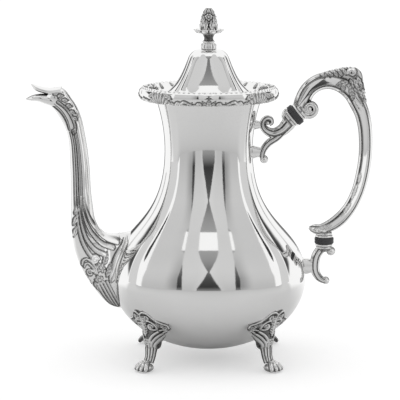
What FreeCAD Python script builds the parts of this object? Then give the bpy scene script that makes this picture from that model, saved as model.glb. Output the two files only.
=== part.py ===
"""Silver-plated coffee pot on four cast feet. Millimetres, +Z up.

The body's axis stands upright, the spout points to -X and the handle to +X. Every piece is built about
that axis and all are then moved together, so that the origin is the middle of the footprint, level with
the soles.
"""

import FreeCAD
import Part
import math
import os

from FreeCAD import Matrix, Vector

# Body: radii are to the middle of a broad panel, heights are from the floor or from the level below
BELLY_RADIUS = 77.2
BELLY_Z = 66.5
BOTTOM_Z = 9.5
NECK_RISE = 101.5
NECK_RADIUS = 34.7
MOUTH_RISE = 39.5
MOUTH_RADIUS = 41.2
BELLY_FULLNESS = 40.0
NECK_FULLNESS = 64.0
BODY_WALL = 1.1
CORNER_RATIO = 1.086
RIB_HALF_WIDTH = 5.0
BASE_RADIUS = 22.0
BASE_LEDGE = 5.0
BASE_PLATE_THICKNESS = 1.2
BASE_PLATE_GAP = 2.0

# Holes that let the coffee through to the spout and keep the grounds back
STRAINER_HOLE_RADIUS = 3.0
STRAINER_PITCH = 10.0
STRAINER_RINGS = 1
STRAINER_RISE = 2.0

# Rim border and the lid's seat in it
BORE_STEP = 5.2
SEAT_RISE = 4.0
BORDER_FOOT = 2.0
BORDER_REACH = 14.2
BORDER_HEIGHT = 9.9
BORDER_PROFILE = [(0.86, 0.26), (1.0, 0.62), (0.9, 0.95), (0.73, 1.0)]
BORDER_SLOPE = (0.3, 0.16)

# Lid
FLANGE_OVERLAP = 4.0
FLANGE_CLEARANCE = 1.0
LID_FLANGE_THICKNESS = 1.0
LID_HEIGHT = 34.5
LID_TOP_RADIUS = 8.0
LID_SHOULDER_RADIUS = 14.6
LID_LEAN_SHARE = 0.78
LID_FLARE_SHARE = 0.13
LID_FLARE_FADE = 8.0
LID_CROWN_SHARE = 0.18
LID_WALL = 1.0
BEZEL_WALL = 1.4
BEZEL_DEPTH = 5.4
BEZEL_CLEARANCE = 1.5

# Lid hinge
HINGE_OUT = 2.5
HINGE_RISE = 10.0
KNUCKLE_RADIUS = 2.2
KNUCKLE_LENGTH = 7.0
KNUCKLE_GAP = 0.3
PIN_RADIUS = 1.0
RUNNING_CLEARANCE = 0.05

# Finial, stacked on a stud through the lid's top
COLLAR_RADIUS = 6.4
COLLAR_HEIGHT = 5.4
COLLAR_FLUTES = 12
FLUTE_OUT = 1.05
STEM_HEIGHT = 8.2
STEM_WAIST = 3.7
LEAF_PLATE_RADIUS = 11.7
LEAF_PLATE_THICKNESS = 2.6
LEAF_LOBES = 8
LOBE_NOTCH_OUT = 0.45
BUD_RADIUS = 7.6
BUD_HEIGHT = 16.8
STUD_RADIUS = 1.9
STUD_CLEARANCE = 0.1
STUD_GRIP = 7.0
WASHER_RADIUS = 4.6
WASHER_THICKNESS = 0.8
NUT_ACROSS_FLATS = 7.0
NUT_HEIGHT = 3.0
STUD_END = 0.8

# Spout: rows give the lower edge, the upper edge and the half width of a section.
# Edges are (out, up) from the belly's side, at the widest level.
SPOUT_WALL = 1.6
SPOUT_SECTIONS = [
    ((-19.2, -24.5), (-27.2, 33.6), 33.0),
    ((-7.2, -25.0), (-14.2, 34.6), 30.5),
    ((2.8, -21.5), (-3.2, 33.8), 27.0),
    ((14.8, -8.0), (3.8, 34.5), 20.0),
    ((23.8, 6.5), (8.8, 38.0), 14.5),
    ((29.3, 21.5), (11.8, 42.5), 11.5),
    ((31.4, 36.5), (13.6, 48.5), 9.6),
    ((31.8, 51.5), (14.5, 55.5), 8.5),
    ((31.8, 67.5), (15.9, 67.5), 7.8),
    ((32.0, 88.5), (17.0, 88.5), 7.3),
    ((33.6, 112.1), (19.8, 110.5), 7.0),
    ((37.3, 122.0), (23.3, 127.5), 7.0),
    ((43.8, 132.8), (29.6, 140.5), 7.4),
    ((49.3, 138.3), (39.8, 150.5), 7.4),
]
CHANNEL_LEAD = 14.0

# Beak at the spout's end: rows are (out, up, half depth, half width)
BEAK_UPPER = [
    (40.8, 147.0, 4.2, 6.6),
    (46.8, 147.1, 2.7, 6.2),
    (52.8, 147.5, 2.0, 5.4),
    (57.8, 149.5, 1.7, 3.8),
    (62.0, 153.5, 0.5, 1.2),
]
BEAK_LOWER = [
    (42.8, 140.0, 5.0, 6.8),
    (49.8, 141.8, 3.8, 6.4),
    (56.8, 143.0, 3.0, 5.4),
    (62.3, 142.1, 1.8, 3.6),
    (66.4, 141.2, 0.5, 1.2),
]
BEAK_MOUTH = [
    (35.0, 132.0, 4.0, 5.0),
    (41.0, 140.5, 4.0, 5.0),
    (47.0, 144.4, 2.8, 4.6),
    (55.0, 146.0, 2.8, 4.4),
    (68.0, 147.4, 2.8, 4.0),
]

# Handle: upper pieces are placed (out, up) from the neck's side, lower ones from the belly's side
UPPER_JOINT = (33.2, 27.3)
UPPER_JOINT_SLOPE = 39.0
LOWER_JOINT = (14.6, 28.7)
INSULATOR_RADIUS = 8.6
LOWER_INSULATOR_RADIUS = 7.6
INSULATOR_THICKNESS = 5.0
COLLAR_STEP = 0.8
SOCKET_END = 1.2
TENON_RADIUS = 3.4
TENON_LENGTH = 6.0
TENON_CLEARANCE = 0.05
TENON_END_GAP = 0.3
CROSS_PIN_RADIUS = 0.9
CROSS_PIN_CLEARANCE = 0.02
GRIP_HALF_WIDTH = 6.0
UPPER_GRIP = [
    (36.8, 30.5, 6.0),
    (39.3, 39.0, 6.2),
    (44.3, 48.0, 6.3),
    (52.3, 53.3, 6.6),
    (60.3, 54.5, 6.8),
    (69.3, 52.0, 7.0),
    (77.3, 45.5, 6.9),
    (82.7, 36.0, 6.4),
    (85.6, 29.6, 6.0),
    (88.0, 20.0, 5.6),
    (89.1, 7.0, 5.3),
]
LOWER_GRIP = [
    (46.3, 95.5, 5.2),
    (44.3, 81.5, 5.2),
    (40.6, 67.5, 5.0),
    (34.2, 54.5, 5.0),
    (25.8, 44.9, 5.2),
    (17.3, 39.5, 4.6),
    (8.3, 38.0, 3.4),
]
GRIP_VOLUTE = (46.9, 31.8)
GRIP_VOLUTE_RADIUS = 5.6
THUMB_LEAF = [
    (50.0, 57.5),
    (62.0, 62.2),
    (72.4, 64.4),
    (77.2, 66.9),
    (80.2, 63.9),
    (83.2, 58.0),
    (88.6, 40.5),
    (82.0, 40.0),
    (66.0, 54.0),
]
THUMB_LEAF_HALF_WIDTH = 5.0
BRACKET_HALF_WIDTH = 4.0
BRACKET_ARM = [
    (30.6, 25.0, 5.4),
    (27.0, 19.3, 4.2),
    (22.6, 14.2, 3.7),
    (17.0, 11.2, 3.7),
    (12.0, 10.0, 3.0),
]
BRACKET_UPPER_SCROLL = [
    (15.5, 11.0, 2.6),
    (10.6, 12.4, 2.4),
    (8.3, 15.6, 2.2),
    (8.0, 19.5, 2.0),
    (9.6, 23.0, 1.8),
]
BRACKET_UPPER_EYE = (11.4, 21.0)
BRACKET_LOWER_SCROLL = [
    (17.0, 8.2, 2.6),
    (11.8, 4.6, 2.4),
    (8.6, 0.2, 2.2),
    (7.7, -4.2, 2.0),
    (8.2, -8.0, 1.8),
]
BRACKET_LOWER_EYE = (8.6, -8.2)
BRACKET_EYE_RADIUS = 3.0
BRACKET_UPPER_PAD = (15.5, 25.0)
BRACKET_LOWER_PAD = (-7.5, 4.5)
PAD_INSET = 3.0
PAD_OUT = 8.0
LOWER_SCROLL = [
    (14.6, 22.6, 3.4),
    (10.8, 20.8, 2.9),
    (7.6, 15.5, 2.7),
    (6.6, 7.5, 2.6),
    (8.3, 0.8, 2.4),
    (11.8, -3.0, 2.1),
    (15.6, -4.3, 1.7),
]
LOWER_SCROLL_EYE = (19.4, 20.3)
LOWER_SCROLL_EYE_RADIUS = 3.5
LOWER_SCROLL_TIP = (15.8, -3.6)
LOWER_SCROLL_TIP_RADIUS = 2.3
LOWER_PAD = (1.0, 13.5)

# Feet, one under each narrow panel: rows are (out, height, half depth, half width).
# Out is measured from the bowl's radius at the foot's root.
FOOT_ROOT_Z = 33.0
FOOT_LEG = [
    (-0.5, 33.0, 8.0, 10.5),
    (0.0, 23.0, 6.0, 7.4),
    (0.0, 16.5, 4.6, 5.2),
    (1.5, 9.5, 3.6, 4.0),
    (3.5, 4.0, 3.6, 4.2),
]
FOOT_COUNT = 4
FOOT_AZIMUTH = 45.0
PAW_OUT = 7.7
PAW_HALF_LENGTH = 7.0
PAW_HALF_WIDTH = 6.0
PAW_HEIGHT = 7.6
PAW_CENTRE_Z = 2.8
TOE_RADIUS = 2.5
TOE_COUNT = 4
APRON_THICKNESS = 3.0
APRON_TOP = 47.5
APRON_EDGE = [
    (6.4, 51.0),
    (11.8, 48.0),
    (15.6, 43.0),
    (22.0, 42.0),
    (25.4, 40.4),
    (24.0, 36.0),
    (16.0, 29.6),
    (9.6, 25.0),
    (6.0, 19.0),
]
BLOOM_RADIUS = 3.6
BLOOM_PLACE = (6.1, 25.0)

NECK_Z = BELLY_Z + NECK_RISE
MOUTH_Z = NECK_Z + MOUTH_RISE
SEAT_Z = MOUTH_Z + SEAT_RISE
LID_TOP_Z = SEAT_Z + LID_FLANGE_THICKNESS + LID_HEIGHT
MOUTH_BORE_RADIUS = MOUTH_RADIUS - BORE_STEP
LID_FLANGE_RADIUS = MOUTH_BORE_RADIUS + FLANGE_OVERLAP
HINGE_X = LID_FLANGE_RADIUS + HINGE_OUT
HINGE_Z = MOUTH_Z + HINGE_RISE
SOCKET_LENGTH = TENON_LENGTH + TENON_END_GAP + SOCKET_END
UP = Vector(0, 0, 1)
ACROSS = Vector(0, 1, 0)


def from_neck(place):
    """Point in the plane of spout and handle, measured out and up from the neck's handle side."""
    return Vector(NECK_RADIUS + place[0], 0, NECK_Z + place[1])


def from_belly(place):
    """Point in the plane of spout and handle, measured out and up from the belly's handle side."""
    return Vector(BELLY_RADIUS + place[0], 0, BELLY_Z + place[1])


def from_spout_side(place):
    """Point in the plane of spout and handle, measured out and up from the belly's spout side."""
    return Vector(-BELLY_RADIUS - place[0], 0, BELLY_Z + place[1])


def one_solid(shape):
    """The single solid that a cut or fusion leaves, without its compound."""
    return shape.Solids[0] if len(shape.Solids) == 1 else shape


def joined(pieces):
    """One solid from overlapping pieces."""
    return one_solid(pieces[0].fuse(pieces[1:]).removeSplitter())


def rod(start, direction, radius, length):
    """Round bar from a point along a direction."""
    return Part.makeCylinder(radius, length, start, direction)


def cross_rod(centre, radius, half_width):
    """Round bar across the pot, centred on the plane of spout and handle."""
    return rod(centre - ACROSS * half_width, ACROSS, radius, 2 * half_width)


def turned(points):
    """Solid turned about the body's axis from (radius, height) corners."""
    corners = [Vector(radius, 0, height) for radius, height in points]
    outline = Part.makePolygon(corners + corners[:1])
    return Part.Face(outline).revolve(Vector(0, 0, 0), UP, 360)


def turned_spline(inner, outer):
    """Solid turned about the body's axis, straight through the inner corners and smooth through the outer."""
    smooth = Part.BSplineCurve()
    smooth.interpolate([Vector(radius, 0, height) for radius, height in outer])
    corners = [outer[-1]] + inner + [outer[0]]
    straight = Part.makePolygon([Vector(radius, 0, height) for radius, height in corners])
    outline = Part.Wire([smooth.toShape()] + straight.Edges)
    return Part.Face(outline).revolve(Vector(0, 0, 0), UP, 360)


def slab(points, half_width):
    """Plate of an outline in the plane of spout and handle, thickened across it."""
    outline = Part.makePolygon(points + points[:1])
    return Part.Face(outline).extrude(ACROSS * (2 * half_width)).translated(ACROSS * -half_width)


def oval(centre, along, across, half_along, half_across):
    """Smooth closed ring about a centre, in the plane of two unit directions, as two half turns."""
    spans = 6
    halves = []
    for half in range(2):
        turns = [math.pi * (half + step / spans) for step in range(spans + 1)]
        points = []
        for turn in turns:
            offset = along * (half_along * math.cos(turn)) + across * (half_across * math.sin(turn))
            points.append(centre + offset)
        curve = Part.BSplineCurve()
        leaving = across * (half_across * math.cos(turns[0]))
        arriving = across * (half_across * math.cos(turns[-1]))
        curve.interpolate(Points=points, InitialTangent=leaving, FinalTangent=arriving)
        halves.append(curve.toShape())
    return Part.Wire(halves)


def limb(path):
    """Solid through oval sections square to a path: rows are (point, half depth, half width)."""
    rings = []
    for index, (point, half_depth, half_width) in enumerate(path):
        before = path[max(index - 1, 0)][0]
        after = path[min(index + 1, len(path) - 1)][0]
        heading = (after - before).normalize()
        rings.append(oval(point, heading.cross(ACROSS), ACROSS, half_depth, half_width))
    return Part.makeLoft(rings, True)


def body_outline(stage):
    """Radius and height on the body's side: stage 0 to 1 is the bowl, 1 to 2 the shoulder, 2 to 3 the neck.

    The bowl is part of an ellipse, the shoulder one cubic bend that is upright at both ends and the neck a
    parabola.
    """
    if stage <= 1:
        start = math.asin(BASE_RADIUS / BELLY_RADIUS)
        turn = start + (math.pi / 2 - start) * stage
        return BELLY_RADIUS * math.sin(turn), BELLY_Z - (BELLY_Z - BOTTOM_Z) * math.cos(turn)
    if stage <= 2:
        t = stage - 1
        fade = (1 - t) ** 2 * (1 + 2 * t)
        radius = NECK_RADIUS + (BELLY_RADIUS - NECK_RADIUS) * fade
        low = 3 * (1 - t) ** 2 * t * (BELLY_Z + BELLY_FULLNESS)
        high = 3 * (1 - t) * t ** 2 * (NECK_Z - NECK_FULLNESS)
        return radius, (1 - t) ** 3 * BELLY_Z + low + high + t ** 3 * NECK_Z
    t = stage - 2
    return NECK_RADIUS + (MOUTH_RADIUS - NECK_RADIUS) * t ** 2, NECK_Z + MOUTH_RISE * t


def around(radius, turn, height):
    """Point at a radius from the body's axis and a turn from +X."""
    return Vector(radius * math.cos(turn), radius * math.sin(turn), height)


def panel_ring(radius, height, ratio):
    """Level ring of four broad arcs and, at the diagonals, four narrow ones standing further out."""
    diagonal = radius * ratio
    half_turn = math.asin(min(RIB_HALF_WIDTH, radius / 4) / diagonal)
    edges = []
    for side in range(4):
        middle = side * math.pi / 2
        corner = middle + math.pi / 4
        turns = [middle - math.pi / 4 + half_turn, corner - half_turn, corner, corner + half_turn]
        start, end, ridge, far = [around(diagonal, turn, height) for turn in turns]
        crest = around(radius, middle, height)
        edges.append(Part.Arc(start, crest, end).toShape())
        edges.append(Part.Arc(end, ridge, far).toShape())
    return Part.Wire(edges)


def body_solid(outset):
    """Solid body whose skin stands a distance outside the raised body's, measured square to its side."""
    bowl_rings = 7
    shoulder_rings = 9
    neck_rings = 4
    stages = [step / bowl_rings for step in range(bowl_rings)]
    stages += [1 + step / shoulder_rings for step in range(shoulder_rings)]
    stages += [2 + step / neck_rings for step in range(neck_rings + 1)]
    rings = []
    nudge = 0.001
    for stage in stages:
        radius, height = body_outline(stage)
        radius_before, height_before = body_outline(max(stage - nudge, 0))
        radius_after, height_after = body_outline(min(stage + nudge, 3))
        rise = height_after - height_before
        spread = radius_after - radius_before
        length = math.hypot(rise, spread)
        squareness = 1 + (CORNER_RATIO - 1) * min(stage, 1) ** 3
        level = height if stage == stages[-1] else height - outset * spread / length
        rings.append(panel_ring(radius + outset * rise / length, level, squareness))
    return Part.makeLoft(rings, True)


def strainer_holes():
    """Round bars in a hexagon, through the wall where the spout's base covers it."""
    bars = []
    for row in range(-STRAINER_RINGS, STRAINER_RINGS + 1):
        count = 2 * STRAINER_RINGS + 1 - abs(row)
        for column in range(count):
            y = (column - (count - 1) / 2) * STRAINER_PITCH
            z = BELLY_Z + STRAINER_RISE + row * STRAINER_PITCH * math.sqrt(3) / 2
            start = Vector(-BELLY_RADIUS - BODY_WALL, y, z)
            bars.append(rod(start, Vector(1, 0, 0), STRAINER_HOLE_RADIUS, BELLY_RADIUS / 3))
    return Part.makeCompound(bars)


def body_shell(outer):
    """Hollow panelled body with a ledge at the bottom and the pierced patch behind the spout."""
    shell = outer.cut(body_solid(-BODY_WALL))
    base_z = body_outline(0)[1]
    opening = rod(Vector(0, 0, base_z - BODY_WALL), UP, BASE_RADIUS - BASE_LEDGE, 3 * BODY_WALL)
    return one_solid(shell.cut(opening).cut(strainer_holes()))


def base_plate(inner):
    """Round plate lying on the ledge inside the body."""
    return rod(Vector(0, 0, inner.BoundBox.ZMin), UP, BASE_RADIUS - BASE_PLATE_GAP, BASE_PLATE_THICKNESS)


def rim_border():
    """Flared border on the neck's edge, with a flat seat for the lid inside its crest."""
    outer = [(MOUTH_RADIUS * CORNER_RATIO + BORDER_FOOT, MOUTH_Z)]
    for out, up in BORDER_PROFILE:
        outer.append((MOUTH_RADIUS + BORDER_REACH * out, MOUTH_Z + BORDER_HEIGHT * up))
    outer.append((MOUTH_RADIUS + BORDER_REACH * BORDER_SLOPE[0], SEAT_Z + BORDER_HEIGHT * BORDER_SLOPE[1]))
    outer.append((LID_FLANGE_RADIUS + FLANGE_CLEARANCE, SEAT_Z))
    inner = [(MOUTH_BORE_RADIUS, SEAT_Z), (MOUTH_BORE_RADIUS, MOUTH_Z)]
    return turned_spline(inner, outer)


def lid_outline(share):
    """Radius and height on the lid's side, from its foot at 0 to its flat top at 1.

    The side leans in steadily, flares out near the foot and rounds over near the top.
    """
    base = SEAT_Z + LID_FLANGE_THICKNESS
    lean_foot = LID_FLANGE_RADIUS * LID_LEAN_SHARE
    flare = LID_FLANGE_RADIUS * LID_FLARE_SHARE * math.exp(-share * LID_FLARE_FADE)
    lean = lean_foot + (LID_SHOULDER_RADIUS - lean_foot) * share
    ease = max(share - 1 + LID_CROWN_SHARE, 0) / LID_CROWN_SHARE
    crown = (lean - LID_TOP_RADIUS) * (1 - math.sqrt(max(1 - ease ** 2, 0)))
    return lean + flare - crown, base + LID_HEIGHT * share


def lid_solid(inset):
    """Panelled solid of the lid, drawn in by a wall's thickness where one is given."""
    shares = [0.0, 0.05, 0.12, 0.22, 0.4, 0.6, 0.8, 0.9, 0.96, 1.0]
    rings = []
    for share in shares:
        radius, height = lid_outline(share)
        squareness = 1 + (CORNER_RATIO - 1) * math.sin(math.pi * min(share / 0.5, 1) / 2) * (1 - share ** 8)
        drop = inset if share > 0.5 else 0
        rings.append(panel_ring(radius - inset, height - drop, squareness))
    return Part.makeLoft(rings, True)


def lid_dome():
    """Thin bell-shaped lid on a flat flange, bored for the finial's stud."""
    shell = lid_solid(0).cut(lid_solid(LID_WALL))
    flange = rod(Vector(0, 0, SEAT_Z), UP, LID_FLANGE_RADIUS, LID_FLANGE_THICKNESS)
    bezel_radius = MOUTH_BORE_RADIUS - BEZEL_CLEARANCE
    opening = rod(Vector(0, 0, SEAT_Z - 1), UP, bezel_radius - BEZEL_WALL, LID_FLANGE_THICKNESS + 2)
    lid = joined([shell, flange.cut(opening)])
    stud_hole = rod(Vector(0, 0, LID_TOP_Z - 3 * LID_WALL), UP, STUD_RADIUS + STUD_CLEARANCE, 6 * LID_WALL)
    return one_solid(lid.cut(stud_hole))


def lid_bezel():
    """Short tube under the flange that keeps the lid in the mouth, tapered so that it swings out freely."""
    radius = MOUTH_BORE_RADIUS - BEZEL_CLEARANCE
    foot = SEAT_Z - BEZEL_DEPTH
    taper = BEZEL_WALL / 2
    inner = radius - BEZEL_WALL
    return turned([(inner, foot), (radius - taper, foot), (radius, SEAT_Z), (inner, SEAT_Z)])


def hinge_pin():
    """Pin through the three knuckles, flush with the outer ones."""
    return cross_rod(Vector(HINGE_X, 0, HINGE_Z), PIN_RADIUS, KNUCKLE_LENGTH * 1.5 + KNUCKLE_GAP)


def hinge_body_leaf(border):
    """The two outer knuckles, on lugs that stand on the border."""
    pieces = []
    bore = hinge_bore()
    for start in (-1.5 * KNUCKLE_LENGTH - KNUCKLE_GAP, 0.5 * KNUCKLE_LENGTH + KNUCKLE_GAP):
        corners = [
            Vector(HINGE_X - KNUCKLE_RADIUS * 0.6, start, SEAT_Z),
            Vector(HINGE_X + KNUCKLE_RADIUS * 1.8, start, SEAT_Z),
            Vector(HINGE_X + KNUCKLE_RADIUS * 0.9, start, HINGE_Z),
            Vector(HINGE_X - KNUCKLE_RADIUS * 0.9, start, HINGE_Z),
        ]
        lug = Part.Face(Part.makePolygon(corners + corners[:1])).extrude(ACROSS * KNUCKLE_LENGTH)
        barrel = rod(Vector(HINGE_X, start, HINGE_Z), ACROSS, KNUCKLE_RADIUS, KNUCKLE_LENGTH)
        pieces.append(one_solid(joined([lug, barrel]).cut(bore).cut(border)))
    return Part.makeCompound(pieces)


def hinge_bore():
    """Space for the pin through every knuckle."""
    return cross_rod(Vector(HINGE_X, 0, HINGE_Z), PIN_RADIUS + RUNNING_CLEARANCE, 2 * KNUCKLE_LENGTH)


def hinge_lid_leaf():
    """Middle knuckle on a strap that stands on the lid's flange."""
    flange_top = SEAT_Z + LID_FLANGE_THICKNESS
    corners = [
        Vector(LID_FLANGE_RADIUS - 2.6, 0, flange_top),
        Vector(LID_FLANGE_RADIUS - 0.2, 0, flange_top),
        Vector(HINGE_X - KNUCKLE_RADIUS * 0.3, 0, HINGE_Z - KNUCKLE_RADIUS * 0.9),
        Vector(HINGE_X - KNUCKLE_RADIUS * 0.7, 0, HINGE_Z + KNUCKLE_RADIUS * 0.7),
    ]
    strap = slab(corners, KNUCKLE_LENGTH / 2)
    barrel = cross_rod(Vector(HINGE_X, 0, HINGE_Z), KNUCKLE_RADIUS, KNUCKLE_LENGTH / 2)
    return one_solid(joined([strap, barrel]).cut(hinge_bore()))


def finial_levels():
    """Heights of the stacked finial's seats: collar, stem, leaf plate, bud and tip."""
    stem = LID_TOP_Z + COLLAR_HEIGHT
    plate = stem + STEM_HEIGHT
    bud = plate + LEAF_PLATE_THICKNESS
    return LID_TOP_Z, stem, plate, bud, bud + BUD_HEIGHT


def stud_bore(start, end):
    """Clear hole for the stud between two heights."""
    return rod(Vector(0, 0, start), UP, STUD_RADIUS + STUD_CLEARANCE, end - start)


def finial_collar():
    """Round collar with upright flutes."""
    start, end = finial_levels()[:2]
    ring = turned_spline(
        [(0, end), (0, start)],
        [(COLLAR_RADIUS * 0.9, start), (COLLAR_RADIUS, (start + end) / 2), (COLLAR_RADIUS * 0.7, end)],
    )
    flute_radius = math.pi * COLLAR_RADIUS / COLLAR_FLUTES / 2.4
    for flute in range(COLLAR_FLUTES):
        turn = 2 * math.pi * flute / COLLAR_FLUTES
        ring = ring.cut(rod(around(COLLAR_RADIUS * FLUTE_OUT, turn, start), UP, flute_radius, COLLAR_HEIGHT))
    return one_solid(ring.cut(stud_bore(start, end)))


def finial_stem():
    """Waisted stem between the collar and the leaf plate."""
    start, end = finial_levels()[1:3]
    side = [(STEM_WAIST * 1.15, start), (STEM_WAIST, start + STEM_HEIGHT * 0.55), (STEM_WAIST * 1.4, end)]
    return one_solid(turned_spline([(0, end), (0, start)], side).cut(stud_bore(start, end)))


def finial_leaf_plate():
    """Dished plate with a lobe for each leaf."""
    start, end = finial_levels()[2:4]
    plate = rod(Vector(0, 0, start), UP, LEAF_PLATE_RADIUS, end - start)
    notch_radius = math.pi * LEAF_PLATE_RADIUS / LEAF_LOBES / 2.6
    for leaf in range(LEAF_LOBES):
        turn = 2 * math.pi * (leaf + 0.5) / LEAF_LOBES
        place = around(LEAF_PLATE_RADIUS + notch_radius * LOBE_NOTCH_OUT, turn, start)
        plate = plate.cut(rod(place, UP, notch_radius, LEAF_PLATE_THICKNESS))
    return one_solid(plate.cut(stud_bore(start, end)))


def finial_bud():
    """Pointed bud with a blind hole for the stud."""
    start, end = finial_levels()[3:5]
    side = [
        (BUD_RADIUS * 0.9, start),
        (BUD_RADIUS, start + BUD_HEIGHT * 0.12),
        (BUD_RADIUS * 0.78, start + BUD_HEIGHT * 0.42),
        (BUD_RADIUS * 0.52, start + BUD_HEIGHT * 0.76),
        (0, end),
    ]
    bud = turned_spline([(0, start)], side)
    return one_solid(bud.cut(stud_bore(start, start + STUD_GRIP)))


def stud_foot():
    """Lower end of the stud, just past the nut inside the lid."""
    return LID_TOP_Z - LID_WALL - WASHER_THICKNESS - NUT_HEIGHT - STUD_END


def finial_stud():
    """Rod from the nut up into the bud."""
    foot = stud_foot()
    return rod(Vector(0, 0, foot), UP, STUD_RADIUS, finial_levels()[3] + STUD_GRIP - foot)


def finial_washer():
    """Washer against the inside of the lid's flat top."""
    start = LID_TOP_Z - LID_WALL - WASHER_THICKNESS
    washer = rod(Vector(0, 0, start), UP, WASHER_RADIUS, WASHER_THICKNESS)
    return washer.cut(stud_bore(start, start + WASHER_THICKNESS))


def finial_nut():
    """Six-sided nut under the washer."""
    start = LID_TOP_Z - LID_WALL - WASHER_THICKNESS - NUT_HEIGHT
    reach = NUT_ACROSS_FLATS / math.sqrt(3)
    corners = [around(reach, math.pi / 3 * side, start) for side in range(6)]
    nut = Part.Face(Part.makePolygon(corners + corners[:1])).extrude(UP * NUT_HEIGHT)
    return nut.cut(stud_bore(start, start + NUT_HEIGHT))


def spout_loft(sections, inset):
    """Loft through rows of lower edge, upper edge and half width, drawn in by a wall."""
    rings = []
    for low, high, half_width in sections:
        lower = from_spout_side(low)
        upper = from_spout_side(high)
        half_depth = (upper - lower).Length / 2
        depth = (upper - lower).normalize()
        rings.append(oval((lower + upper) * 0.5, depth, ACROSS, half_depth - inset, half_width - inset))
    return Part.makeLoft(rings, True)


def spout_channel():
    """Space inside the spout, from within the body to the root of the beak."""
    wide = SPOUT_SECTIONS[:-1]
    low, high, half_width = wide[0]
    lead = ((low[0] - CHANNEL_LEAD, low[1]), (high[0] - CHANNEL_LEAD, high[1]), half_width)
    return spout_loft([lead] + wide, SPOUT_WALL)


def beak_limb(rows):
    """Piece of the beak through rows of (out, up, half depth, half width)."""
    return limb([(from_spout_side(row), row[2], row[3]) for row in rows])


def spout_shell(body):
    """Hollow swan-neck spout with a gaping beak, cut to the body's side."""
    outer = spout_loft(SPOUT_SECTIONS, 0).fuse([beak_limb(BEAK_UPPER), beak_limb(BEAK_LOWER)])
    shell = outer.cut(spout_channel()).cut(beak_limb(BEAK_MOUTH))
    return one_solid(shell.cut(body))


def upper_axis():
    """Direction of the upper joint, from the bracket up towards the grip."""
    slope = math.radians(UPPER_JOINT_SLOPE)
    return Vector(math.cos(slope), 0, math.sin(slope))


def joint_rod(centre, axis, start, radius, length):
    """Round bar on a joint's axis, starting a signed distance from the joint's centre."""
    return rod(centre + axis * start, axis, radius, length)


def insulator(centre, axis, radius):
    """Heat break: a disc with a tenon on each face, cross-drilled for its pins."""
    half = INSULATOR_THICKNESS / 2
    disc = joint_rod(centre, axis, -half, radius, INSULATOR_THICKNESS)
    length = INSULATOR_THICKNESS + 2 * TENON_LENGTH
    tenons = joint_rod(centre, axis, -length / 2, TENON_RADIUS, length)
    solid = joined([disc, tenons])
    for side in (-1, 1):
        place = pin_place(centre, axis, side)
        solid = solid.cut(cross_rod(place, CROSS_PIN_RADIUS + CROSS_PIN_CLEARANCE, radius))
    return one_solid(solid)


def pin_place(centre, axis, side):
    """Middle of the cross pin in the tenon on one side of a joint."""
    return centre + axis * (side * (INSULATOR_THICKNESS + TENON_LENGTH) / 2)


def socket(centre, axis, radius, side):
    """Round collar that meets the insulator's face on one side."""
    start = INSULATOR_THICKNESS / 2 if side > 0 else -INSULATOR_THICKNESS / 2 - SOCKET_LENGTH
    return joint_rod(centre, axis, start, radius - COLLAR_STEP, SOCKET_LENGTH)


def socket_hole(centre, axis, radius, side):
    """Space for the tenon and its cross pin in a collar."""
    depth = TENON_LENGTH + TENON_END_GAP
    start = INSULATOR_THICKNESS / 2 if side > 0 else -INSULATOR_THICKNESS / 2 - depth
    hole = joint_rod(centre, axis, start, TENON_RADIUS + TENON_CLEARANCE, depth)
    pin = cross_rod(pin_place(centre, axis, side), CROSS_PIN_RADIUS + CROSS_PIN_CLEARANCE, radius)
    return hole.fuse(pin)


def clear_of_insulator(centre, axis, radius, side):
    """Block over the insulator and everything beyond it, which a casting may not enter."""
    reach = 3 * SOCKET_LENGTH
    start = INSULATOR_THICKNESS / 2 - reach if side > 0 else -INSULATOR_THICKNESS / 2
    return joint_rod(centre, axis, start, 2 * radius, reach)


def cross_pins():
    """The four pins that hold the tenons in their collars."""
    pins = []
    for centre, axis, radius in handle_joints():
        for side in (-1, 1):
            pins.append(cross_rod(pin_place(centre, axis, side), CROSS_PIN_RADIUS, radius - COLLAR_STEP))
    return Part.makeCompound(pins)


def handle_joints():
    """Centre, axis and radius of the upper and the lower heat break."""
    upper = (from_neck(UPPER_JOINT), upper_axis(), INSULATOR_RADIUS)
    lower = (from_belly(LOWER_JOINT), UP, LOWER_INSULATOR_RADIUS)
    return upper, lower


def handle_grip():
    """Scroll handle: an oval bar from the upper collar over the arch and down to the lower collar."""
    upper, lower = handle_joints()
    path = [(from_neck(row), row[2], GRIP_HALF_WIDTH) for row in UPPER_GRIP]
    path += [(from_belly(row), row[2], GRIP_HALF_WIDTH * row[2] / LOWER_GRIP[0][2]) for row in LOWER_GRIP]
    leaf = [from_neck(place) for place in THUMB_LEAF]
    tip = LOWER_GRIP[-1]
    pieces = [
        limb(path),
        socket(*upper, 1),
        socket(*lower, 1),
        cross_rod(from_neck(GRIP_VOLUTE), GRIP_VOLUTE_RADIUS, GRIP_HALF_WIDTH),
        slab(leaf, THUMB_LEAF_HALF_WIDTH),
        Part.makeSphere(tip[2] * 1.1, from_belly(tip)),
    ]
    grip = joined(pieces)
    for joint in (upper, lower):
        grip = grip.cut(clear_of_insulator(*joint, 1)).cut(socket_hole(*joint, 1))
    return one_solid(grip)


def bracket_limb(rows, place):
    """Scroll of a bracket through rows of (out, up, half depth)."""
    return limb([(place(row), row[2], BRACKET_HALF_WIDTH * min(row[2] / 3, 1.2)) for row in rows])


def pad(span, place):
    """Block that joins a bracket to the body between two heights."""
    low, high = span
    corners = [(-PAD_INSET, low), (PAD_OUT, low), (PAD_OUT, high), (-PAD_INSET, high)]
    return slab([place(corner) for corner in corners], BRACKET_HALF_WIDTH)


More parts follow.
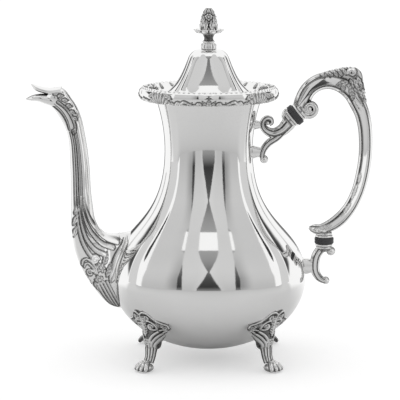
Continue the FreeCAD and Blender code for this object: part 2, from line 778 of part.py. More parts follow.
def upper_bracket(body):
    """Double-scroll bracket from the neck to the upper heat break."""
    joint = handle_joints()[0]
    pieces = [
        socket(*joint, -1),
        bracket_limb(BRACKET_ARM, from_neck),
        bracket_limb(BRACKET_UPPER_SCROLL, from_neck),
        bracket_limb(BRACKET_LOWER_SCROLL, from_neck),
        cross_rod(from_neck(BRACKET_UPPER_EYE), BRACKET_EYE_RADIUS, BRACKET_HALF_WIDTH),
        cross_rod(from_neck(BRACKET_LOWER_EYE), BRACKET_EYE_RADIUS, BRACKET_HALF_WIDTH),
        pad(BRACKET_UPPER_PAD, from_neck),
        pad(BRACKET_LOWER_PAD, from_neck),
    ]
    bracket = joined(pieces).cut(clear_of_insulator(*joint, -1)).cut(socket_hole(*joint, -1))
    return one_solid(bracket.cut(body))


def lower_bracket(body):
    """C-scroll bracket from the belly to the lower heat break."""
    joint = handle_joints()[1]
    pieces = [
        socket(*joint, -1),
        bracket_limb(LOWER_SCROLL, from_belly),
        cross_rod(from_belly(LOWER_SCROLL_EYE), LOWER_SCROLL_EYE_RADIUS, BRACKET_HALF_WIDTH),
        cross_rod(from_belly(LOWER_SCROLL_TIP), LOWER_SCROLL_TIP_RADIUS, BRACKET_HALF_WIDTH),
        pad(LOWER_PAD, from_belly),
    ]
    bracket = joined(pieces).cut(clear_of_insulator(*joint, -1)).cut(socket_hole(*joint, -1))
    return one_solid(bracket.cut(body))


def ellipsoid(centre, half_x, half_y, half_z):
    """Ball stretched to three half sizes."""
    stretch = Matrix()
    stretch.scale(half_x, half_y, half_z)
    return Part.makeSphere(1).transformGeometry(stretch).translated(centre)


def foot_apron(bulged):
    """Leafy shield of the foot, lying on the body's side under a narrow panel."""
    outline = [(0, APRON_TOP)] + APRON_EDGE + [(-side, height) for side, height in reversed(APRON_EDGE)]
    corners = [Vector(0, side, height) for side, height in outline]
    prism = Part.Face(Part.makePolygon(corners + corners[:1])).extrude(Vector(2 * BELLY_RADIUS, 0, 0))
    prism.rotate(Vector(0, 0, 0), UP, FOOT_AZIMUTH)
    return bulged.common(prism)


def bowl_radius(height):
    """Radius of the body's bowl at a height under the belly."""
    share = (BELLY_Z - height) / (BELLY_Z - BOTTOM_Z)
    return BELLY_RADIUS * math.sqrt(1 - share ** 2)


def foot(body, bulged):
    """Cast foot under the narrow panel between handle side and back: apron, leg, bloom and paw."""
    stance = bowl_radius(FOOT_ROOT_Z)
    leg = limb([(Vector(stance + out, 0, height), depth, width) for out, height, depth, width in FOOT_LEG])
    paw = Vector(stance + PAW_OUT, 0, PAW_CENTRE_Z)
    pieces = [leg, ellipsoid(paw, PAW_HALF_LENGTH, PAW_HALF_WIDTH, PAW_HEIGHT - PAW_CENTRE_Z)]
    for toe in range(TOE_COUNT):
        side = (toe / (TOE_COUNT - 1) * 2 - 1) * 0.62
        out = paw.x + PAW_HALF_LENGTH * 0.8 * math.sqrt(1 - side ** 2)
        pieces.append(Part.makeSphere(TOE_RADIUS, Vector(out, PAW_HALF_WIDTH * side, TOE_RADIUS * 0.8)))
    pieces.append(Part.makeSphere(BLOOM_RADIUS, Vector(stance + BLOOM_PLACE[0], 0, BLOOM_PLACE[1])))
    for piece in pieces:
        piece.rotate(Vector(0, 0, 0), UP, FOOT_AZIMUTH)
    casting = joined([foot_apron(bulged)] + pieces)
    reach = 2 * BELLY_RADIUS
    below_floor = Part.makeBox(2 * reach, 2 * reach, reach, Vector(-reach, -reach, -reach))
    return one_solid(casting.cut(below_floor).cut(body))


def feet(body, bulged):
    """The four feet by name, each a quarter turn from the one before."""
    names = ["foot_back_right", "foot_back_left", "foot_front_left", "foot_front_right"]
    first = foot(body, bulged)
    pieces = {}
    for index, name in enumerate(names):
        copy = first.copy()
        copy.rotate(Vector(0, 0, 0), UP, index * 360 / FOOT_COUNT)
        pieces[name] = copy
    return pieces


def assemble():
    """Every piece of the pot by its node's name, about the body's axis."""
    outer = body_solid(0)
    inner = body_solid(-BODY_WALL)
    bulged = body_solid(APRON_THICKNESS)
    border = rim_border()
    upper, lower = handle_joints()
    pieces = {
        "body_shell": body_shell(outer),
        "base_plate": base_plate(inner),
        "rim_border": border,
        "lid_dome": lid_dome(),
        "lid_bezel": lid_bezel(),
        "hinge_body_leaf": hinge_body_leaf(border),
        "hinge_lid_leaf": hinge_lid_leaf(),
        "hinge_pin": hinge_pin(),
        "finial_collar": finial_collar(),
        "finial_stem": finial_stem(),
        "finial_leaf_plate": finial_leaf_plate(),
        "finial_bud": finial_bud(),
        "finial_stud": finial_stud(),
        "finial_washer": finial_washer(),
        "finial_nut": finial_nut(),
        "spout_shell": spout_shell(outer),
        "handle_grip": handle_grip(),
        "upper_bracket": upper_bracket(outer),
        "lower_bracket": lower_bracket(outer),
        "upper_insulator": insulator(*upper),
        "lower_insulator": insulator(*lower),
        "handle_pins": cross_pins(),
    }
    pieces.update(feet(outer, bulged))
    return pieces


def main():
    """Build the pot, centre its footprint on the origin and write one file for each piece."""
    os.makedirs("parts", exist_ok=True)
    pieces = assemble()
    spout_end = pieces["spout_shell"].optimalBoundingBox().XMin
    handle_end = pieces["handle_grip"].optimalBoundingBox().XMax
    shift = Vector(-(spout_end + handle_end) / 2, 0, 0)
    for name, shape in pieces.items():
        placed = shape.translated(shift)
        placed.exportStep(f"parts/{name}.step")
        box = placed.optimalBoundingBox()
        low = f"{box.XMin:.2f} {box.YMin:.2f} {box.ZMin:.2f}"
        high = f"{box.XMax:.2f} {box.YMax:.2f} {box.ZMax:.2f}"
        print(f"{name}: solids {len(placed.Solids)}, valid {placed.isValid()}, from {low} to {high}")
    print(f"axis at x {shift.x:.3f}, hinge at x {HINGE_X + shift.x:.3f} z {HINGE_Z:.3f}")


main()
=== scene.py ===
"""Looks of a silver-plated coffee pot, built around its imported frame.

Lengths inside the surface functions are millimetres from the body's axis and the floor, and become metres
in the frame's place when a piece is made. Every new piece is a grid of points worked out with numpy.
"""

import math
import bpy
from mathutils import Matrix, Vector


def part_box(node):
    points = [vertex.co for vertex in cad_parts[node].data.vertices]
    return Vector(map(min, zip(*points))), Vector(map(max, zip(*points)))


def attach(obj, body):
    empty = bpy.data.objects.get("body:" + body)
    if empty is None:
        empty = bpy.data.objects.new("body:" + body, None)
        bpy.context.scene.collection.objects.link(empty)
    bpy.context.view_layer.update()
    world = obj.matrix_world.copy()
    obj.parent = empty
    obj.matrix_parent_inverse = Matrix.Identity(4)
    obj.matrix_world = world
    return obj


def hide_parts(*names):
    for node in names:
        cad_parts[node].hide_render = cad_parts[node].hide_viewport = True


bl_info = {
    "name": "Silver Coffee Pot",
    "version": (1, 0, 0),
    "blender": (4, 5, 0),
    "location": "3D View > Sidebar > Coffee Pot",
    "description": "Builds a panelled silver coffee pot with cast ornament on its packed frame",
    "category": "Add Mesh",
}

import bmesh
import bpy
import numpy as np

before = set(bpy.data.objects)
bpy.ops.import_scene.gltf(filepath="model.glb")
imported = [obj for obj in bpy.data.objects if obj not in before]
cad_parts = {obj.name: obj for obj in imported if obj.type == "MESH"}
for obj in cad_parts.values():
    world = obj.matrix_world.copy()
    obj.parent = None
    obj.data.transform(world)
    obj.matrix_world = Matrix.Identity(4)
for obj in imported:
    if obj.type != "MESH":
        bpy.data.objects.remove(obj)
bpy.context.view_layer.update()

MM = 0.001
TURN = 2 * math.pi

# The pot's axis stands midway between the body's two sides
BODY_LOW, BODY_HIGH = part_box("body_shell")
AXIS_X = (BODY_LOW.x + BODY_HIGH.x) / 2 / MM

# Body, as its solid has it
BELLY_RADIUS, BELLY_Z, BOTTOM_Z = 77.19, 66.5, 9.5
NECK_RADIUS, NECK_Z = 34.7, 168.0
MOUTH_RADIUS, MOUTH_Z = 41.2, 207.5
BELLY_FULLNESS, NECK_FULLNESS = 40.0, 64.0
BODY_WALL = 1.1
CORNER_RATIO, RIB_HALF_WIDTH = 1.086, 5.0
BASE_RADIUS, BASE_OPENING = 22.0, 17.0
NARROW_HALF_TURN = math.radians(11)

# Lid: its seat and flange are the solid's, and its bell is drawn in more, with broader panels
SEAT_Z, BORE_RADIUS = 211.5, 36.0
FLANGE_RADIUS, FLANGE_THICKNESS = 40.0, 1.0
LID_TOP_Z, LID_TOP_RADIUS, LID_SHOULDER_RADIUS = 247.0, 8.0, 13.4
LID_LEAN_RADIUS, LID_FLARE, LID_FLARE_FADE = 25.2, 9.3, 4.4
LID_CROWN_START, LID_CORNER_RISE = 0.82, 0.3
LID_CORNER_RATIO, LID_RIB, LID_CREASES = 1.195, 0.12, 1.8
LID_WALL, BEZEL_RADIUS, STUD_HOLE_RADIUS = 1.0, 33.1, 2.0

# Width of the dark line of oxide and painted shade that is left round a stamp of the relief
OUTLINE = 0.7


# Numbers on curves and grids

def smooth(low, high, values):
    """Share from 0 at low to 1 at high, level at both ends."""
    t = np.clip((values - low) / (high - low), 0, 1)
    return t * t * (3 - 2 * t)


def band(rise, fall, values):
    """Share that comes up over one span of values and goes down over a later one."""
    return smooth(*rise, values) * (1 - smooth(*fall, values))


def full_turn(count):
    """Even turns round a full circle, as one row."""
    return np.linspace(0, TURN, count, endpoint=False)[None]


def through(rows, count):
    """Even samples of the smooth curve through a few rows; the first two columns are the place.

    Each span is a cubic whose end slopes are those between the rows on either side.
    """
    rows = np.asarray(rows, float)
    gaps = np.linalg.norm(np.diff(rows[:, :2], axis=0), axis=1)
    knots = np.concatenate([[0], np.cumsum(gaps)])
    slopes = np.gradient(rows, knots, axis=0)
    at = np.linspace(0, knots[-1], count)
    span = np.clip(np.searchsorted(knots, at, side="right") - 1, 0, len(gaps) - 1)
    reach = gaps[span][:, None]
    t = ((at - knots[span]) / gaps[span])[:, None]
    start = (2 * t**3 - 3 * t**2 + 1) * rows[span] + (t**3 - 2 * t**2 + t) * reach * slopes[span]
    end = (3 * t**2 - 2 * t**3) * rows[span + 1] + (t**3 - t**2) * reach * slopes[span + 1]
    return start + end


def spiral(centre, radius, start, turns, shrink=0.25, count=40):
    """Points of a scroll that winds in from a radius to a share of it, from a start angle in degrees."""
    t = np.linspace(0, 1, count)
    angle = math.radians(start) + TURN * turns * t
    reach = radius * (1 - (1 - shrink) * t)
    return np.stack([centre[0] + reach * np.cos(angle), centre[1] + reach * np.sin(angle)], 1)


def length_along(points):
    """Distance from the first point to each point of a line."""
    steps = np.linalg.norm(np.diff(points, axis=0), axis=1)
    return np.concatenate([[0], np.cumsum(steps)])


def grid_normals(points, wrap=True):
    """Unit normals of a grid: the cross product of its two directions."""
    down = np.gradient(points, axis=0)
    if wrap:
        along = (np.roll(points, -1, axis=1) - np.roll(points, 1, axis=1)) / 2
    else:
        along = np.gradient(points, axis=1)
    normal = np.cross(along, down)
    return normal / np.maximum(np.linalg.norm(normal, axis=2, keepdims=True), 1e-9)


# Relief: heights from 0 to 1 over flat coordinates p and q, where grow widens a stamp for its outline

def stroke(p, q, path, width, grow=1.0):
    """Rounded ridge along a line: height falls off as a half circle across its width, which may taper."""
    path = np.asarray(path, float)
    widths = np.broadcast_to(np.asarray(width, float), len(path)) + (grow - 1) * OUTLINE
    best = np.full(p.shape, 9.0)
    for (a, b), reach in zip(path, widths):
        best = np.minimum(best, np.hypot(p - a, q - b) / reach)
    return np.sqrt(np.clip(1 - best**2, 0, 1))


def line(rows, start, end, count=40):
    """Path through a few rows and widths that taper along it, as a stroke takes them."""
    return through(rows, count), np.linspace(start, end, count)


def curl(centre, radius, start, turns, width):
    """Path of a scroll's curl and its narrowing widths, as a stroke takes them."""
    return spiral(centre, radius, start, turns), np.linspace(width, 0.6 * width, 40)


def leaf(p, q, root, tip, half_width, lobes=5, vein=0.5, grow=1.0):
    """Pointed leaf from root to tip: a lobed outline, a sunk midrib and side veins that slant forward."""
    root, tip = np.asarray(root, float), np.asarray(tip, float)
    length = np.linalg.norm(tip - root)
    ahead = (tip - root) / length
    margin = (grow - 1) * OUTLINE
    root, length = root - ahead * margin, length + 2 * margin
    half_width = half_width + margin
    s = ((p - root[0]) * ahead[0] + (q - root[1]) * ahead[1]) / length
    t = np.abs((q - root[1]) * ahead[0] - (p - root[0]) * ahead[1])
    inside = (s > 0) & (s < 1)
    s = np.clip(s, 1e-6, 1 - 1e-6)
    notches = 0.78 + 0.22 * np.abs(np.cos(math.pi * lobes * s))
    outline = half_width * np.sin(math.pi * s**0.75) ** 0.8 * notches
    edge = np.clip(1 - t / np.maximum(outline, 1e-6), 0, 1)
    veins = 0.5 + 0.5 * np.cos(TURN * (lobes * s - 0.9 * t / half_width))
    midrib = np.exp(-((t / (0.12 * half_width)) ** 2))
    height = smooth(0, 0.45, edge) * (1 - vein * 0.75 * veins) * (1 - 0.5 * midrib)
    return np.where(inside, height, 0)


def rosette(p, q, centre, radius, petals=6, spin=0.0, grow=1.0):
    """Flower: petals are bumps round a boss, parted by creases."""
    radius = radius + (grow - 1) * OUTLINE
    a, b = p - centre[0], q - centre[1]
    r = np.hypot(a, b) / radius
    parting = np.abs(np.cos(petals / 2 * (np.arctan2(b, a) + spin)))
    rim = 0.72 + 0.28 * parting
    petal = np.sqrt(np.clip(1 - (r / rim) ** 2, 0, 1)) * (0.2 + 0.8 * parting**0.6)
    dish = 1 - 0.75 * np.exp(-(((r - 0.38) / 0.12) ** 2))
    boss = np.sqrt(np.clip(1 - (r / 0.28) ** 2, 0, 1))
    return np.maximum(petal * dish, boss)


def shell(p, q, centre, radius, ribs=9, spread=2.6, facing=math.pi / 2, grow=1.0):
    """Scallop: ribs fan out from a hinge point and end in a scalloped edge."""
    radius = radius + (grow - 1) * OUTLINE
    a, b = p - centre[0], q - centre[1]
    angle = np.arctan2(b, a) - facing
    angle = np.arctan2(np.sin(angle), np.cos(angle))
    share = angle / spread
    fluting = np.abs(np.cos(math.pi * ribs * share))
    rim = radius * (0.86 + 0.14 * fluting)
    r = np.hypot(a, b) / rim
    body = np.sqrt(np.clip(1 - r**6, 0, 1)) * (0.1 + 0.9 * fluting**0.7) * (0.55 + 0.45 * r)
    return np.where((np.abs(share) < 0.5) & (r < 1), body, 0)


def carve(p, q, stamps, grow=1.0):
    """Highest of a list of stamps, each a height, a shape and the shape's own numbers."""
    return np.maximum.reduce([height * shape(p, q, *rest, grow=grow) for height, shape, *rest in stamps])


def carved(p, q, stamps):
    """Relief of a list of stamps, and the dark line of oxide and painted shade left round each of them."""
    relief = carve(p, q, stamps)
    halo = carve(p, q, stamps, 2.0)
    # Painted shade: the dark runs from the outline up each stamp's sides and fades towards its crest.
    return relief, smooth(0.0, 0.4, halo) * (1 - smooth(0.15, 0.9, relief))


# Meshes

def close_ends(points, oxide_and_shade):
    """Grid with its first and last rows drawn to their middle points, which closes the ends of a bar."""
    first = np.broadcast_to(points[:1].mean(1, keepdims=True), points[:1].shape)
    last = np.broadcast_to(points[-1:].mean(1, keepdims=True), points[-1:].shape)
    return np.concatenate([first, points, last]), np.concatenate([oxide_and_shade[:1], oxide_and_shade, oxide_and_shade[-1:]])


def quads(rows, columns, start, wrap):
    """Corner numbers of every cell of a grid, whose columns may run round to the first one."""
    i, j = np.meshgrid(np.arange(rows - 1), np.arange(columns if wrap else columns - 1), indexing="ij")
    here = start + i * columns
    beside = (j + 1) % columns
    cells = np.stack([here + j, here + beside, here + columns + beside, here + columns + j], 2)
    return cells.reshape(-1, 4)


def new_mesh(name, points, cells, label, values):
    """Mesh of points and four-cornered cells, with a value kept at each point under a label."""
    mesh = bpy.data.meshes.new(name)
    mesh.from_pydata(points.tolist(), [], cells.tolist())
    kept = mesh.attributes.new(label, "FLOAT", "POINT")
    kept.data.foreach_set("value", values.astype(np.float32))
    return mesh


def new_object(name, data):
    """Object of a mesh or a camera, linked into the scene at the origin."""
    thing = bpy.data.objects.new(name, data)
    bpy.context.scene.collection.objects.link(thing)
    return thing


def make_piece(name, patches, material, body, nodes):
    """Object from grids of points with their values of oxide and painted shade, in the frame's place.

    Points that coincide are merged, so that seams and poles close, and faces are turned outwards.
    """
    corners, shades, cells, start = [], [], [], 0
    for points, oxide_and_shade, wrap in patches:
        rows, columns = points.shape[:2]
        corners.append(points.reshape(-1, 3))
        shades.append(np.broadcast_to(oxide_and_shade, (rows, columns)).ravel())
        cells.append(quads(rows, columns, start, wrap))
        start += rows * columns
    corners = (np.concatenate(corners) + [AXIS_X, 0, 0]) * MM
    mesh = new_mesh(name, corners, np.concatenate(cells), "oxide_and_shade", np.concatenate(shades))
    merged = bmesh.new()
    merged.from_mesh(mesh)
    bmesh.ops.remove_doubles(merged, verts=merged.verts, dist=1e-7)
    bmesh.ops.dissolve_degenerate(merged, edges=merged.edges, dist=1e-8)
    bmesh.ops.recalc_face_normals(merged, faces=merged.faces)
    merged.to_mesh(mesh)
    merged.free()
    mesh.polygons.foreach_set("use_smooth", np.ones(len(mesh.polygons), bool))
    mesh.materials.append(material)
    piece = new_object(name, mesh)
    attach(piece, body)
    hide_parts(*nodes)


def turned(radius, height, turn):
    """Grid about the body's axis from radii that may change with the turn."""
    radius, height, turn = np.broadcast_arrays(radius, height, turn)
    return np.stack([radius * np.cos(turn), radius * np.sin(turn), height], 2)


def bar(rows, around, squareness=1.0):
    """Grid of a bar in the plane of spout and handle, through rows of (x, z, half depth, half width).

    A point goes out from the path by the cosine of its turn, in the plane, and by the sine, across it.
    A squareness under 1 fills the corners of the oval.
    """
    path = rows[:, :2]
    heading = np.gradient(path, axis=0)
    heading /= np.linalg.norm(heading, axis=1, keepdims=True)
    turn = full_turn(around)
    cos = np.sign(np.cos(turn)) * np.abs(np.cos(turn)) ** squareness
    sin = np.sign(np.sin(turn)) * np.abs(np.sin(turn)) ** squareness
    out = rows[:, 2:3] * cos
    x = path[:, :1] - heading[:, 1:2] * out
    z = path[:, 1:2] + heading[:, :1] * out
    y = rows[:, 3:4] * sin
    return np.stack([x, y, z], 2)


def crested(across, crest):
    """Height of a section over its width from 1 to -1, with a crest off its middle.

    Up to the crest it is a straight line, eased off beside it; beyond the crest it is a quarter of an oval.
    """
    slope = (1 + across) / (1 + crest) - 0.09 * np.exp(-(((across - crest) / 0.2) ** 2))
    beyond = np.clip((across - crest) / (1 - crest), 0, 1)
    return np.maximum(np.where(across < crest, slope, 0.91 * np.sqrt(1 - beyond**2)), 0)


def grooved(across, lines):
    """Depth from 0 to 1 of crisp grooves, from rows of (place across, half width, strength)."""
    return sum(much * (1 - smooth(0.5 * wide, 1.2 * wide, np.abs(across - at))) for at, wide, much in lines)


def raised(points, relief, depth, wrap=True):
    """Grid moved along its normals by a relief times its depth."""
    return points + grid_normals(points, wrap) * (relief * depth)[..., None]


# Body

def body_outline(stage):
    """Radius and height of the body's side: ellipse for the bowl, cubic bend, parabola for the neck."""
    first = math.asin(BASE_RADIUS / BELLY_RADIUS)
    turn = first + (math.pi / 2 - first) * np.clip(stage, 0, 1)
    t = np.clip(stage - 1, 0, 1)
    fade = (1 - t) ** 2 * (1 + 2 * t)
    bend = (1 - t) ** 3 * BELLY_Z + 3 * (1 - t) ** 2 * t * (BELLY_Z + BELLY_FULLNESS)
    bend += 3 * (1 - t) * t**2 * (NECK_Z - NECK_FULLNESS) + t**3 * NECK_Z
    n = np.clip(stage - 2, 0, 1)
    waist = NECK_RADIUS + (BELLY_RADIUS - NECK_RADIUS) * fade
    radius = np.where(stage <= 1, BELLY_RADIUS * np.sin(turn), waist)
    height = np.where(stage <= 1, BELLY_Z - (BELLY_Z - BOTTOM_Z) * np.cos(turn), bend)
    radius = np.where(stage > 2, NECK_RADIUS + (MOUTH_RADIUS - NECK_RADIUS) * n**2, radius)
    height = np.where(stage > 2, NECK_Z + (MOUTH_Z - NECK_Z) * n, height)
    return radius, height


def panel_radius(turn, radius, ratio, rib):
    """Distance from the axis of a ring of four broad arcs and four narrow ones that stand further out.

    A broad arc is a circle through its crest and its two ends; a narrow one is a circle about the axis.
    """
    diagonal = radius * ratio
    half = np.arcsin(rib / diagonal)
    from_crest = np.abs((turn + math.pi / 4) % (math.pi / 2) - math.pi / 4)
    end = math.pi / 4 - half
    centre = (radius**2 - diagonal**2) / (2 * (radius - diagonal * np.cos(end)) + 1e-9)
    sweep = radius - centre
    at = np.minimum(from_crest, end)
    broad = centre * np.cos(at) + np.sqrt(np.maximum(sweep**2 - (centre * np.sin(at)) ** 2, 0))
    return np.where(from_crest < end, broad, diagonal)


def panelled(turn, radius, ratio, rib, crease):
    """Panel ring whose creases are rounded by averaging it over a short way to either side."""
    shifts = np.linspace(-1, 1, 7) * crease
    return sum(panel_radius(turn + shift / radius, radius, ratio, rib) for shift in shifts) / len(shifts)


def panel_turns(per_broad, per_narrow):
    """Turns round the axis, closer together across the narrow panels and beside the creases."""
    broad = np.linspace(-1, 1, per_broad, endpoint=False)
    broad = (broad + 0.35 * np.sin(math.pi * broad) / math.pi) * (math.pi / 4 - NARROW_HALF_TURN)
    narrow = math.pi / 4 + np.linspace(-1, 1, per_narrow, endpoint=False) * NARROW_HALF_TURN
    quarter = np.concatenate([broad, narrow])
    return np.concatenate([quarter + side * math.pi / 2 for side in range(4)])


def body_offset(stage, outset):
    """Radius and height of a skin that stands a distance outside the body's, square to its side."""
    nudge = 1e-3
    radius, height = body_outline(stage)
    before = body_outline(np.maximum(stage - nudge, 0))
    after = body_outline(np.minimum(stage + nudge, 3))
    rise, spread = after[1] - before[1], after[0] - before[0]
    reach = np.hypot(rise, spread)
    return radius + outset * rise / reach, height - outset * spread / reach


def body_skin(stage, turn, outset, crease):
    """Grid of the body's panelled skin."""
    radius, height = body_offset(stage, outset)
    ratio = 1 + (CORNER_RATIO - 1) * np.minimum(stage, 1) ** 3
    rib = np.minimum(RIB_HALF_WIDTH, radius / 4)
    rings = panelled(turn[None], radius[:, None], ratio[:, None], rib[:, None], crease)
    return turned(rings, height[:, None], turn[None])


def body_side_at(height, turn, outset=0.0):
    """Distance of the body's skin from the axis at heights and turns."""
    stage = np.linspace(0, 3, 600)
    radius, level = body_offset(stage, outset)
    at = np.interp(height, level, stage)
    ratio = 1 + (CORNER_RATIO - 1) * np.minimum(at, 1) ** 3
    reach = np.interp(height, level, radius)
    return panel_radius(turn, reach, ratio, np.minimum(RIB_HALF_WIDTH, reach / 4))


def seated(points, depth=0.5):
    """Points that would lie inside the body are brought out into the thickness of its wall."""
    turn = np.arctan2(points[..., 1], points[..., 0])
    reach = np.hypot(points[..., 0], points[..., 1])
    least = body_side_at(points[..., 2], turn) - depth
    lift = np.where(reach < least, least / np.maximum(reach, 1e-6), 1)
    return points * np.stack([lift, lift, np.ones_like(lift)], -1)


def body_patches(crease):
    """Outer skin, lip, inner skin and the ledge under the base plate, as one closed sleeve."""
    turn = panel_turns(44, 18)
    outer = body_skin(np.linspace(0, 3, 230), turn, 0, crease)
    inner = body_skin(np.linspace(3, 0, 90), turn, -BODY_WALL, crease)
    inner[0, :, 2] = MOUTH_Z
    ledge_top = turned(BASE_OPENING, inner[-1:, :, 2], turn[None])
    ledge_under = turned(BASE_OPENING, outer[:1, :, 2], turn[None])
    sleeve = np.concatenate([outer, inner, ledge_top, ledge_under, outer[:1]])
    return [(sleeve, 0.0, True)]


# Lid

def lid_outline(share):
    """Radius and height of the lid's side.

    It leans in on a straight line, with a flare that fades out from the foot, and rounds over as an oval.
    """
    base = SEAT_Z + FLANGE_THICKNESS
    lean = LID_LEAN_RADIUS + (LID_SHOULDER_RADIUS - LID_LEAN_RADIUS) * share
    flare = LID_FLARE * np.exp(-LID_FLARE_FADE * share)
    ease = np.clip((share - LID_CROWN_START) / (1 - LID_CROWN_START), 0, 1)
    crown = (lean - LID_TOP_RADIUS) * (1 - np.sqrt(1 - ease**2))
    return lean + flare - crown, base + (LID_TOP_Z - base) * share


def lid_skin(share, turn, inset, crease):
    """Grid of the lid's panelled side, drawn in by a wall where one is given."""
    radius, height = lid_outline(share)
    rise = 0.5 + 0.5 * np.sin(math.pi / 2 * np.minimum(share / LID_CORNER_RISE, 1))
    ratio = 1 + (LID_CORNER_RATIO - 1) * rise * (1 - share**8)
    reach = (radius - inset)[:, None]
    rings = panelled(turn[None], reach, ratio[:, None], LID_RIB * reach, LID_CREASES * crease)
    drop = inset * smooth(0.4, 0.6, share)
    return turned(rings, (height - drop)[:, None], turn[None])


def lid_patches(crease):
    """Dome, flange with a rounded edge, and the inside, as one closed sleeve about the stud's hole."""
    turn = panel_turns(34, 14)
    share = 1 - np.linspace(0, 1, 120) ** 1.3
    side = lid_skin(share, turn, 0, crease)
    under = lid_skin(np.linspace(0, 1, 50), turn, LID_WALL, crease)
    top = SEAT_Z + FLANGE_THICKNESS
    edge = [
        (FLANGE_RADIUS - 1.2, top),
        (FLANGE_RADIUS - 0.3, top - 0.08),
        (FLANGE_RADIUS, top - 0.4),
        (FLANGE_RADIUS - 0.1, SEAT_Z + 0.15),
        (FLANGE_RADIUS - 0.4, SEAT_Z),
        (BEZEL_RADIUS, SEAT_Z),
        (BEZEL_RADIUS, top),
    ]
    flange = np.concatenate([turned(r, z, turn[None]) for r, z in edge])
    hole = [(STUD_HOLE_RADIUS, LID_TOP_Z), (LID_TOP_RADIUS * 0.6, LID_TOP_Z)]
    crown = np.concatenate([turned(r, z, turn[None]) for r, z in hole])
    roof = turned(STUD_HOLE_RADIUS, LID_TOP_Z - LID_WALL, turn[None])
    sleeve = np.concatenate([crown, side, flange, under, roof, crown[:1]])
    return [(sleeve, 0.0, True)]


# Rim border: its profile is rows of (radius, height), from the foot outside over the lip to the lid's seat

BORDER_PROFILE = [
    (46.8, 207.5),
    (50.4, 208.2),
    (53.4, 210.0),
    (54.8, 213.2),
    (53.8, 216.4),
    (51.2, 217.2),
    (48.0, 215.4),
    (44.6, 212.8),
    (41.0, 211.5),
]
BORDER_RADIUS, BORDER_REPEATS = 55.0, 4
BORDER_SPAN = TURN * BORDER_RADIUS / BORDER_REPEATS

# Along the profile: the beaded lip, how far the scallops reach, and where the relief comes and goes
LIP_PLACE, LIP_WIDTH, LIP_BEADING = 16.4, 0.9, 1.45
SCALLOP_DEPTH, SCALLOP_REACH = 0.7, 24.0
RELIEF_COMES, RELIEF_GOES = (0.4, 1.6), (24.0, 26.0)


def border_stamps():
    """Shells at the corners, a palmette at each panel's middle and scrolls between, over half a repeat."""
    corner = BORDER_SPAN / 2
    return [
        (1.0, shell, (corner, 1.6), 13.0, 9, 2.6),
        (1.0, leaf, (corner - 17.0, 3.0), (corner - 7.0, 8.6), 2.6, 4, 0.7),
        (1.0, leaf, (corner - 13.0, 10.0), (corner - 4.0, 14.0), 2.0, 4, 0.7),
        (1.0, stroke, *curl((corner - 17.6, 5.4), 2.6, 200, -1.6, 1.0)),
        (1.0, stroke, *line([(corner - 19.6, 6.0), (20.5, 8.2), (15.0, 6.4)], 1.2, 0.7)),
        (0.9, stroke, *line([(6.0, 2.6), (11.0, 4.6), (17.0, 3.4), (23.0, 5.0), (29.0, 3.4)], 1.3, 0.9)),
        (0.9, stroke, *curl((7.8, 6.0), 2.2, 250, 1.5, 0.9)),
        (0.9, leaf, (0.0, 1.6), (0.0, 11.0), 2.8, 4, 0.7),
        (0.8, leaf, (1.0, 3.0), (5.2, 9.4), 1.9, 3, 0.7),
        (0.8, leaf, (19.0, 3.0), (13.0, 8.0), 1.6, 3, 0.7),
        (0.8, leaf, (28.0, 3.0), (22.0, 2.0), 1.4, 3, 0.7),
        (0.8, leaf, (0.0, 24.0), (0.0, 17.0), 3.0, 4, 0.8),
        (0.8, leaf, (9.0, 22.0), (3.0, 17.0), 2.2, 4, 0.8),
        (0.8, leaf, (14.0, 23.0), (18.0, 17.0), 2.2, 4, 0.8),
        (0.8, stroke, *line([(5.0, 21.0), (14.0, 19.4), (22.0, 21.6), (28.0, 19.4)], 1.2, 0.8)),
        (0.8, leaf, (27.0, 24.0), (24.0, 17.5), 2.2, 4, 0.8),
        (0.8, leaf, (corner - 8.0, 24.0), (corner - 6.0, 18.0), 2.0, 4, 0.8),
    ]


def border_patches(depth):
    """Cast border: a turned profile with its relief, and the plain seat for the lid inside it."""
    turn = full_turn(640)
    profile = through(BORDER_PROFILE, 80)
    along = length_along(profile)[:, None]
    a, b = np.broadcast_arrays((turn + math.pi / 2) * BORDER_RADIUS, along)
    mirrored = np.abs((a + BORDER_SPAN / 2) % BORDER_SPAN - BORDER_SPAN / 2)
    relief, dark = carved(mirrored, b, border_stamps())
    lip = np.exp(-(((b - LIP_PLACE) / LIP_WIDTH) ** 2)) * (0.6 + 0.4 * np.cos(a * LIP_BEADING))
    zone = band(RELIEF_COMES, RELIEF_GOES, b)
    scallop = np.cos(4 * math.pi * a / BORDER_SPAN)
    bulge = np.sin(math.pi * np.clip(along / SCALLOP_REACH, 0, 1))
    radius = profile[:, :1] - SCALLOP_DEPTH * (1 - scallop) / 2 * bulge
    outer = turned(radius, profile[:, 1:2], turn)
    outer = raised(outer, np.maximum(relief, lip) * zone, depth)
    outer[..., 2] = np.clip(outer[..., 2], MOUTH_Z, None)
    inner = [turned(BORE_RADIUS, SEAT_Z, turn), turned(BORE_RADIUS, MOUTH_Z, turn)]
    sleeve = np.concatenate([outer] + inner + [outer[:1]])
    oxide_and_shade = np.concatenate([dark * zone, np.zeros((3, dark.shape[1]))])
    return [(sleeve, oxide_and_shade, True)]


# Finial: profiles are rows of (radius, height)

